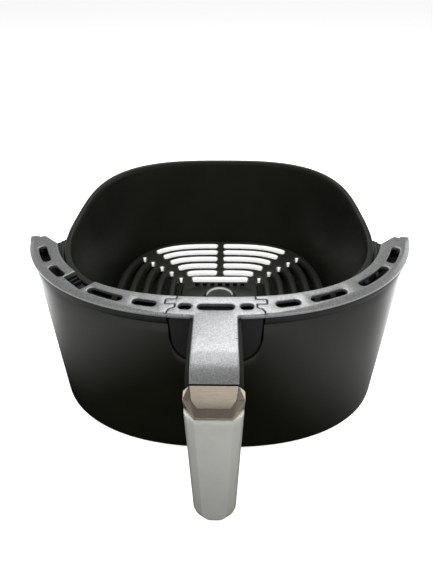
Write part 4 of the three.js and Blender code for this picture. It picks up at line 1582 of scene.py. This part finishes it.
    def edge(self, loop: Array, skirt: Array, foot: Array, gap: Array) -> Array:
        """The edge's profile at each outline point, as rows of inset and drop.

        Where skirt is 1 the top slopes down from a crease and the edge ends in a low skirt; the
        slope widens from the middle to the sides. Elsewhere the edge is rounded and plain and
        drops to foot. A gap below zero keeps the edge square.

        Args:
            loop: the outline.
            skirt: 1 where the edge has the low skirt.
            foot: how far a plain edge goes down.
            gap: how far a plain edge is set in.

        Returns:
            The profile, as rows by points by two.
        """
        tip = smooth(-45.0, -52.0, loop[:, 1])
        side = smooth(30.0, 78.0, np.abs(loop[:, 0])) * tip
        under = 0.3 + 0.7 * tip
        wide = 0.6 + 2.7 * side
        fall = 0.35 + 1.25 * side
        one = np.ones(len(loop))
        sloped = [
            (wide + 0.5, 0 * one), (wide + 0.12, 0.03 * one), (wide - 0.15, 0.12 * one),
            (0.5 * wide + 0.15, 0.06 + 0.5 * fall), (0.45 * one, fall), (0.14 * one, fall + 0.2),
            (0 * one, fall + 0.5), (0 * one, 2.4 * one), (0 * one, 2.6 * one),
            (0 * one, 2.8 * one), (0 * one, 3.0 * one), (0.08 * one, 3.2 * one),
            (0.3 * one, 3.3 * one), (1.4 * under, 3.3 * one), (1.7 * under, 3.2 * one),
            (2.1 * under, 2.9 * one), (2.8 * under, self.deck * one),
        ]
        plain = [
            (0.7 * one, 0 * one), (0.45 * one, 0.03 * one), (0.25 * one, 0.12 * one),
            (0.1 * one, 0.3 * one), (0.02 * one, 0.5 * one), (0 * one, 0.7 * one),
            (0 * one, 0.9 * one), (0 * one, 1.2 * one), (0 * one, 1.5 * one),
            (0 * one, 1.8 * one), (0 * one, 2.1 * one), (0 * one, foot - 0.2),
            (0.15 * one, foot), (0.75 * one, foot), (0.85 * one, foot - 0.1),
            (0.95 * one, np.maximum(self.deck + 0.1, 0.4 * foot)), (1.05 * one, self.deck * one),
        ]
        rows = []
        for (in_a, drop_a), (in_b, drop_b) in zip(sloped, plain):
            inset = np.where(gap < 0, 0.02 * in_b, in_b + gap)
            rows.append(np.stack([np.where(skirt > 0.5, in_a, inset),
                                  np.where(skirt > 0.5, drop_a, drop_b)], axis=1))
        return np.array(rows)

    def deck_shell(self, parts: tuple[Array, Array, Array, Array],
                   slots: Sequence[tuple[float, float]], side: int) -> Shell:
        """A deck with its slots, which have rounded upper edges.

        Args:
            parts: the outline and what its edge does, as wing gives them.
            slots: each slot's two ends, as distances from the middle.
            side: -1 for slots on the left and 1 for slots on the right.

        Returns:
            The shell.
        """
        outline, *kinds = parts
        hole_rim = np.array([(0.8, 0.0), (0.5, 0.06), (0.22, 0.2), (0.05, 0.42), (0.0, 0.8),
                             (0.0, 2.2), (0.2, self.deck)])
        holes = [self.slot_line.slot(*sorted((side * x0, side * x1)), self.slot_width)
                 for x0, x1 in slots]
        return sheet_with_holes(outline, holes, lambda loop: self.edge(loop, *kinds), hole_rim,
                                lambda plan: np.full(len(plan), self.top))

    def arm_end(self) -> Shell:
        """The arm's curved end: a plate carried along a path that bends down.

        Section j stands at path point j, square to the path: each section point goes across by x
        and down the path's normal by its depth.
        """
        corners = [(self.arm_flat_end, 119), (-153, 119), (-160, 118.2), (-166, 115.8),
                   (-170, 112.9), (-172.8, 109.6)]
        path = resample(rounded(corners, 3.0, steps=6, closed=False), 0.8)
        run = np.gradient(path, axis=0)
        run /= np.linalg.norm(run, axis=1, keepdims=True)
        down = np.stack([-run[:, 1], run[:, 0]], axis=1)
        h = self.arm_half
        side = [(h, 1.6), (h, 0.7), (h - 0.02, 0.5), (h - 0.1, 0.3), (h - 0.25, 0.12),
                (h - 0.45, 0.03), (h - 0.7, 0.0)]
        top = [(x, 0.0) for x in np.linspace(h - 3, 3 - h, 5)]
        back = [(-x, d) for x, d in side[::-1]]
        under = [(-h, 2.3), (0.2 - h, 2.5), (0.0, 2.5), (h - 0.2, 2.5), (h, 2.3)]
        section = np.array([*side, *top, *back, *under])
        yz = path[:, None] + down[:, None] * section[None, :, 1:]
        x = np.broadcast_to(section[None, :, :1], (*yz.shape[:2], 1))
        return looped(np.concatenate([x, yz], axis=2))

    def build(self) -> None:
        """Makes the wings and the cap."""
        right = self.deck_shell(self.wing(1), self.right_slots, 1)
        piece("collar_wing_right", [right], Slot.GREY, "drawer", ["collar_right"])
        left = self.deck_shell(self.wing(-1), self.left_slots, -1)
        piece("collar_wing_left", [left], Slot.GREY, "drawer", ["collar_left"])
        cap = self.deck_shell(self.cap(), self.cap_slots, 1)
        piece("cap", [cap, self.arm_end()], Slot.GREY, "drawer", ["handle_cap"])


@dataclass
class Handle:
    """The handle: its core, the plated crown and the two shells of the grip."""

    core_half: float = 14.9
    crown: tuple[tuple[float, float, float], ...] = (
        (9.4, -187.2, 99.85), (15.4, -180.0, 99.85), (15.4, -173.6, 99.85),
        (9.6, -187.0, 101.0), (15.8, -178.6, 104.5), (15.8, -173.6, 105.5),
        (8.4, -184.4, 104.9), (11.4, -180.6, 106.8), (12.6, -173.6, 109.5),
    )
    grip_top: float = 99.5
    grip_foot: float = 25.5
    grip_front: float = -187.0
    lean: float = 0.2
    depth: float = 20.0
    front_depth: float = 11.0
    corner: float = 7.0

    def core(self) -> list[Shell]:
        """The core: the arm's body under the cap, its root and the tongue into the grip."""
        arm = np.array([
            (-116.9, 96.2), (-116.9, 115.9), (-152, 115.9), (-160, 115.2), (-166, 112.8),
            (-170, 110), (-172.6, 107.5), (-172.6, 100.2), (-165, 99.8), (-158, 101),
            (-146, 100.5), (-137, 96.5), (-134, 91.5), (-128, 90.6), (-127, 96.2),
        ])
        radii = [0.5, 0.5, 3, 3, 3, 2, 1, 1, 3, 3, 4, 3, 2, 1, 0.6]
        tongue = np.array([(-168, 100.4), (-168, 104), (-178.5, 104), (-182, 98.6),
                           (-191.2, 48), (-186, 48), (-174, 98)])
        root = block((-22, -126, 96.2), (22, -116.9, 111.6), 0.5)
        return [across(rounded(arm, radii, steps=4), self.core_half, 0.8),
                across(rounded(tongue, 0.6, steps=3), 9.0, 0.4), root]

    def crown_mesh(self) -> bpy.types.Object:
        """The crown: the hull of its corners on both sides, with softened edges."""
        half = np.array(self.crown)
        corners = np.concatenate([half, half * np.array([-1.0, 1.0, 1.0])]) * MM
        work = bmesh.new()
        for corner in corners:
            work.verts.new(corner)
        bmesh.ops.convex_hull(work, input=work.verts[:])
        bmesh.ops.dissolve_limit(work, angle_limit=0.03, verts=work.verts[:], edges=work.edges[:])
        mesh = bpy.data.meshes.new("crown")
        work.to_mesh(mesh)
        work.free()
        mesh.shade_smooth()
        mesh.set_sharp_from_angle(angle=math.radians(60))
        made = bpy.data.objects.new("crown", mesh)
        bpy.context.scene.collection.objects.link(made)
        mesh.materials.append(finish_of(Slot.CROWN))
        soften = made.modifiers.new("edges", "BEVEL")
        soften.width = 0.45 * MM
        soften.segments = 3
        soften.limit_method = "ANGLE"
        soften.angle_limit = math.radians(6)
        soften.harden_normals = True
        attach(made, "drawer")
        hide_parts("grip_crown")
        log.info("crown: %d faces", len(mesh.polygons))
        return made

    def half_at(self, z: Array) -> Array:
        """Half-width of the grip: it narrows downwards and its bottom corners are round.

        half = 15.1 - 0.045 * depth below the top - r * (1 - sqrt(1 - rise^2)), where rise goes
        from 0 to nearly 1 over the last r above the foot.
        """
        rise = np.clip(self.corner - (z - self.grip_foot), 0.0, None) / self.corner
        bottom = self.corner * (1 - np.sqrt(np.clip(1 - rise ** 2, 0.0, None)))
        return 15.1 - (self.grip_top - z) * 0.045 - bottom

    def heights(self) -> Array:
        """Heights of the grip's rings: close together at the foot and at the top."""
        low = self.grip_foot + np.array([0.1, 0.22, 0.45, 0.8, 1.3, 2.0, 3.0, 4.2, 5.6, 7.0])
        return np.concatenate([low, np.linspace(36, 96, 13), [98.6, 99.1, self.grip_top]])

    def rings(self, section: Callable[[float, float], Array]) -> Shell:
        """Stacks sections down the grip, with edges set in a little at its top and bottom.

        Args:
            section: gives the section for a half-width and a front y.

        Returns:
            The shell.
        """
        rings = []
        for z in self.heights():
            half = float(self.half_at(np.array(z)))
            front = self.grip_front - (self.grip_top - z) * self.lean
            tuck = 0.8 * max(0.0, 1 - (z - self.grip_foot) / 2.0) ** 2
            tuck += 0.4 * max(0.0, 1 - (self.grip_top - z) / 0.9) ** 2
            plan = section(half, front + tuck)
            rings.append(np.column_stack([plan, np.full(len(plan), z)]))
        return stacked(np.array(rings))

    def front_shell(self) -> Shell:
        """The silver front shell: a flat face with a chamfer down each side."""
        def section(half: float, front: float) -> Array:
            """The front shell's section at one height."""
            flat = max(half - 5.2, 0.35 * half)
            mid = max(half - 1.2, 0.8 * half)
            back = front + self.front_depth
            return rounded([(-flat, front), (flat, front), (mid, front + 2.4),
                            (half, front + 4.4), (half, back), (-half, back),
                            (-half, front + 4.4), (-mid, front + 2.4)],
                           [0.35, 0.35, 0.5, 0.5, 0.3, 0.3, 0.5, 0.5], steps=4)
        return self.rings(section)

    def rear_shell(self) -> Shell:
        """The black rear shell, with rounded back corners."""
        def section(half: float, front: float) -> Array:
            """The rear shell's section at one height."""
            start = front + self.front_depth + 0.35
            end = front + self.depth
            return rounded([(-half, start), (half, start), (half, end - 4), (half * 0.66, end),
                            (-half * 0.66, end), (-half, end - 4)],
                           [0.4, 0.4, 2.5, 2.5, 2.5, 2.5], steps=5)
        return self.rings(section)

    def build(self) -> None:
        """Makes the handle's pieces."""
        piece("arm_core", self.core(), Slot.SATIN, "drawer", ["handle_core"])
        self.crown_mesh()
        piece("grip_front", [self.front_shell()], Slot.SILVER, "drawer", ["grip_front_shell"],
              sharp=25.0)
        piece("grip_rear", [self.rear_shell()], Slot.SATIN, "drawer", ["grip_rear_shell"])


# ---------------------------------------------------------------- screws


@dataclass(frozen=True)
class Screw:
    """A pan-head cross-recess screw: where its head rests, where its shank points, its sizes."""

    node: str
    at: tuple[float, float, float]
    way: tuple[float, float, float]
    length: float
    head: float
    shank: float

    def shells(self) -> list[Shell]:
        """The head with its recess, and the shank with its threads.

        Head rings have radius r and height h * (1 - (r/R)^4 * 0.6) less a cross of half-width
        0.35 that fades out at 0.6 R. The shank's radius is a saw of one turn a millimetre.
        """
        angle = np.linspace(0.0, 2 * math.pi, 64, endpoint=False)[None]
        share = np.concatenate([np.linspace(0.08, 0.97, 14), [1.0, 1.0, 0.9, 0.4]])
        r = share[:, None] * self.head
        x, y = r * np.cos(angle), r * np.sin(angle)
        arm = np.minimum(np.abs(x), np.abs(y))
        far = np.maximum(np.abs(x), np.abs(y))
        cross = smooth(0.5, 0.3, arm) * smooth(0.62 * self.head, 0.5 * self.head, far)
        tall = 0.55 * self.head
        dome = tall * (1 - 0.45 * (r / self.head) ** 4) - 0.6 * tall * cross
        z = dome.copy()
        z[-4] = 0.45 * tall
        z[-3] = 0.12
        z[-2:] = 0.0
        head = stacked(np.stack([x, y, z], axis=2))
        turns = np.linspace(0.0, self.length - 1.2, int(3 * self.length))
        saw = self.shank * (0.86 + 0.14 * np.abs(((turns * 1.0) % 1.0) * 2 - 1))
        profile = np.concatenate([np.stack([saw, -turns], axis=1),
                                  [(0.3 * self.shank, -self.length)]])
        return [head, turned(profile, 20)]

    def build(self) -> None:
        """Makes the screw and turns it to its place."""
        way = Vector(self.way)
        turn = Vector((0.0, 0.0, -1.0)).rotation_difference(way).to_matrix().to_4x4()
        place = Matrix.Translation(self.at) @ turn
        piece(f"fastener_{self.node}", [moved(made, place) for made in self.shells()], Slot.ZINC,
              "drawer", [self.node])


def screws(slot_line: FrontCurve) -> list[Screw]:
    """All the screws, in the places where the frame has them.

    Args:
        slot_line: the curve that the collar's slots lie on.

    Returns:
        The screws.
    """
    down, up, ahead = (0.0, 0.0, -1.0), (0.0, 0.0, 1.0), (0.0, -1.0, 0.0)
    found = [Screw("cap_screw", (0.0, -150.0, 102.4), up, 12, 2.9, 1.3)]
    for side, word in ((-1, "left"), (1, "right")):
        found.append(Screw(f"handle_screw_{word}", (side * 18.4, -122.6, 112.6), down, 24, 3.4,
                           1.5))
        found.append(Screw(f"bracket_screw_{word}", (side * 114.4, -48.55, 69.0), ahead, 7, 3.2,
                           1.5))
        posts = ((52.8, float(slot_line.at(np.array(52.8)))), (128.0, -51.5))
        for number, (x, y) in enumerate(posts, start=1):
            found.append(Screw(f"collar_screw_{word}_{number}", (side * x, y, 107.25), up, 8,
                               2.7, 1.2))
        for z, level in ((30.0, "lower"), (88.0, "upper")):
            node = f"front_screw_{word}_{level}"
            y = float(node_mm(node)[0][1]) + 9.0
            found.append(Screw(node, (side * 64.0, y, z), ahead, 9, 4.2, 1.4))
    for z, level in ((84.0, "upper"), (42.0, "lower")):
        y = -187.0 - (99.5 - z) * 0.2 + 18.6
        found.append(Screw(f"grip_screw_{level}", (0.0, y, z), ahead, 12, 2.9, 1.3))
    return found


# ---------------------------------------------------------------- the studio


@dataclass(frozen=True)
class Softbox:
    """A rectangular light: where it stands, what it faces, its sides and its power.

    A light that isn't mirrored doesn't show in reflections.
    """

    name: str
    at: tuple[float, float, float]
    facing: tuple[float, float, float]
    size: tuple[float, float]
    power: float
    mirrored: bool

    def build(self) -> None:
        """Makes the light."""
        lamp = bpy.data.lights.new(self.name, "AREA")
        lamp.shape = "RECTANGLE"
        lamp.size, lamp.size_y = self.size
        lamp.energy = self.power
        made = bpy.data.objects.new(self.name, lamp)
        bpy.context.scene.collection.objects.link(made)
        way = Vector(self.facing) - Vector(self.at)
        turn = way.to_track_quat("-Z", "Y").to_matrix().to_4x4()
        made.matrix_world = Matrix.Translation(self.at) @ turn
        made.visible_glossy = self.mirrored


@dataclass(frozen=True)
class FloorCard:
    """A glowing floor that only reflections show.

    Its strength grows smoothly from dim to bright between two distances from its centre, with x
    counted squeeze times, and is multiplied by in_front from front_y forward, up to 1 at back_y.
    """

    shift: tuple[float, float, float] = (0.04, 0.05, 0.0)
    squeeze: float = 1.7
    near: float = 0.17
    far: float = 0.39
    dim: float = 0.03
    bright: float = 1.90
    front_y: float = -0.10
    back_y: float = 0.08
    in_front: float = 0.30

    def ramp(self, nodes: bpy.types.Nodes, start: float, stop: float, low: float,
             high: float) -> bpy.types.Node:
        """A smooth step.

        Args:
            nodes: the material's nodes.
            start: where it begins.
            stop: where it ends.
            low: its value before the start.
            high: its value after the stop.

        Returns:
            The node.
        """
        made = nodes.new("ShaderNodeMapRange")
        made.interpolation_type = "SMOOTHSTEP"
        for name, value in zip(("From Min", "From Max", "To Min", "To Max"),
                               (start, stop, low, high)):
            made.inputs[name].default_value = value
        return made

    def material(self) -> bpy.types.Material:
        """Builds the material."""
        glow = bpy.data.materials.new("reflected_floor")
        glow.use_nodes = True
        nodes, links = glow.node_tree.nodes, glow.node_tree.links
        nodes.clear()
        out = nodes.new("ShaderNodeOutputMaterial")
        light = nodes.new("ShaderNodeEmission")
        where = nodes.new("ShaderNodeTexCoord")
        stretch = nodes.new("ShaderNodeMapping")
        stretch.inputs["Location"].default_value = self.shift
        stretch.inputs["Scale"].default_value = (self.squeeze, 1.0, 1.0)
        far = nodes.new("ShaderNodeVectorMath")
        far.operation = "LENGTH"
        ramp = self.ramp(nodes, self.near, self.far, self.dim, self.bright)
        split = nodes.new("ShaderNodeSeparateXYZ")
        behind = self.ramp(nodes, self.front_y, self.back_y, self.in_front, 1.0)
        both = nodes.new("ShaderNodeMath")
        both.operation = "MULTIPLY"
        links.new(where.outputs["Object"], split.inputs["Vector"])
        links.new(split.outputs["Y"], behind.inputs["Value"])
        links.new(behind.outputs["Result"], both.inputs[1])
        links.new(where.outputs["Object"], stretch.inputs["Vector"])
        links.new(stretch.outputs["Vector"], far.inputs[0])
        links.new(far.outputs["Value"], ramp.inputs["Value"])
        links.new(ramp.outputs["Result"], both.inputs[0])
        links.new(both.outputs["Value"], light.inputs["Strength"])
        links.new(light.outputs["Emission"], out.inputs["Surface"])
        return glow


@dataclass(frozen=True)
class Studio:
    """The camera, the pale floor, the soft lights and the even surroundings."""

    lens: float = 26.516
    eye: tuple[float, float, float] = (0.005398, -0.311862, 0.276958)
    yaw: float = -0.026185
    pitch: float = 0.655711
    roll: float = -0.010644
    around: float = 0.20
    lights: tuple[Softbox, ...] = (
        Softbox("overhead", (0.0, -0.45, 1.2), (0.0, -0.02, 0.1), (1.3, 1.1), 18.0, False),
        Softbox("back_window", (0.06, 1.0, 1.45), (0.0, -0.14, 0.1), (0.66, 1.05), 3.9, True),
        Softbox("ceiling", (0.0, 0.03, 1.25), (0.0, 0.0, 0.1), (0.7, 0.95), 2.0, True),
        Softbox("left_wall", (-1.2, 0.5, 0.3), (0.0, 0.0, 0.1), (1.0, 0.8), 0.3, True),
        Softbox("right_wall", (1.2, 0.42, 0.3), (0.0, 0.0, 0.1), (1.0, 0.8), 1.8, True),
    )

    def camera(self) -> None:
        """Makes the camera: turned by its yaw, tipped down by its pitch and rolled."""
        def turn(angle: float, i: int, j: int) -> Array:
            """The matrix that turns from axis j to axis i."""
            made = np.eye(3)
            made[i, i] = made[j, j] = math.cos(angle)
            made[i, j] = -math.sin(angle)
            made[j, i] = math.sin(angle)
            return made
        level = np.array([[1.0, 0.0, 0.0], [0.0, 0.0, -1.0], [0.0, 1.0, 0.0]])
        seen = turn(self.roll, 0, 1) @ turn(self.pitch, 1, 2) @ level @ turn(self.yaw, 0, 1)
        lens = bpy.data.cameras.new("camera")
        lens.lens = self.lens
        lens.sensor_width = 36.0
        lens.clip_start = 0.01
        made = bpy.data.objects.new("camera", lens)
        bpy.context.scene.collection.objects.link(made)
        axes = np.eye(4)
        axes[:3, 0], axes[:3, 1], axes[:3, 2] = seen[0], -seen[1], -seen[2]
        axes[:3, 3] = self.eye
        made.matrix_world = Matrix(axes.tolist())
        bpy.context.scene.camera = made

    def plane(self, name: str, half: float, z: float) -> bpy.types.Object:
        """A square facing up."""
        mesh = bpy.data.meshes.new(name)
        mesh.from_pydata([(-half, -half, z), (half, -half, z), (half, half, z),
                          (-half, half, z)], [], [(0, 1, 2, 3)])
        made = bpy.data.objects.new(name, mesh)
        bpy.context.scene.collection.objects.link(made)
        return made

    def wall(self) -> bpy.types.Object:
        """A round wall a long way off: radius 9 and height 14 metres, in 64 flat panels."""
        angle = np.linspace(0.0, 2 * math.pi, 64, endpoint=False)
        ring = np.stack([9 * np.cos(angle), 9 * np.sin(angle)], axis=1)
        low = np.column_stack([ring, np.full(64, -2.0)])
        high = np.column_stack([ring, np.full(64, 12.0)])
        nxt = (np.arange(64) + 1) % 64
        faces = np.stack([np.arange(64), nxt, nxt + 64, np.arange(64) + 64], axis=1)
        mesh = bpy.data.meshes.new("far_wall")
        mesh.from_pydata(np.concatenate([low, high]).tolist(), [], faces.tolist())
        made = bpy.data.objects.new("far_wall", mesh)
        bpy.context.scene.collection.objects.link(made)
        return made

    def surroundings(self) -> None:
        """The pale floor and wall that the camera sees, and the card that reflections show."""
        pale = bpy.data.materials.new("pale_floor")
        pale.use_nodes = True
        shader = pale.node_tree.nodes["Principled BSDF"]
        shader.inputs["Base Color"].default_value = (0.93, 0.93, 0.93, 1.0)
        shader.inputs["Roughness"].default_value = 0.9
        shader.inputs["Emission Color"].default_value = (1.0, 1.0, 1.0, 1.0)
        shader.inputs["Emission Strength"].default_value = 0.75
        for seen in (self.plane("floor", 9.0, 0.0), self.wall()):
            seen.data.materials.append(pale)
            seen.visible_glossy = False
            seen.visible_diffuse = False
            seen.visible_shadow = False
        card = self.plane("reflected_floor", 6.0, -0.002)
        card.visible_camera = False
        card.visible_shadow = False
        card.data.materials.append(FloorCard().material())

    def build(self) -> None:
        """Makes the camera, the lights, the floor and the world."""
        self.camera()
        for light in self.lights:
            light.build()
        self.surroundings()
        world = bpy.data.worlds.new("studio")
        world.use_nodes = True
        sky = world.node_tree.nodes["Background"]
        sky.inputs["Color"].default_value = (1.0, 1.0, 0.985, 1.0)
        sky.inputs["Strength"].default_value = self.around
        bpy.context.scene.world = world
        bpy.context.scene.view_settings.view_transform = "Standard"


# ---------------------------------------------------------------- everything in order


def corners(box: Sequence[Sequence[float]]) -> list[list[float]]:
    """A box as plain lists of numbers."""
    return [[float(value) for value in corner] for corner in box]


def main() -> None:
    """Builds the studio and then each sub-assembly, from the pan outwards."""
    logging.basicConfig(level=logging.INFO, format="%(name)s: %(message)s")
    Studio().build()
    pan = Pan()
    pan.build()
    CrisperPlate().build()
    front = Front()
    front.build()
    collar = Collar()
    InnerFrame(front, pan, collar).build()
    collar.build()
    Handle().build()
    for screw in screws(collar.slot_line):
        screw.build()


if __name__ == "__main__":
    main()
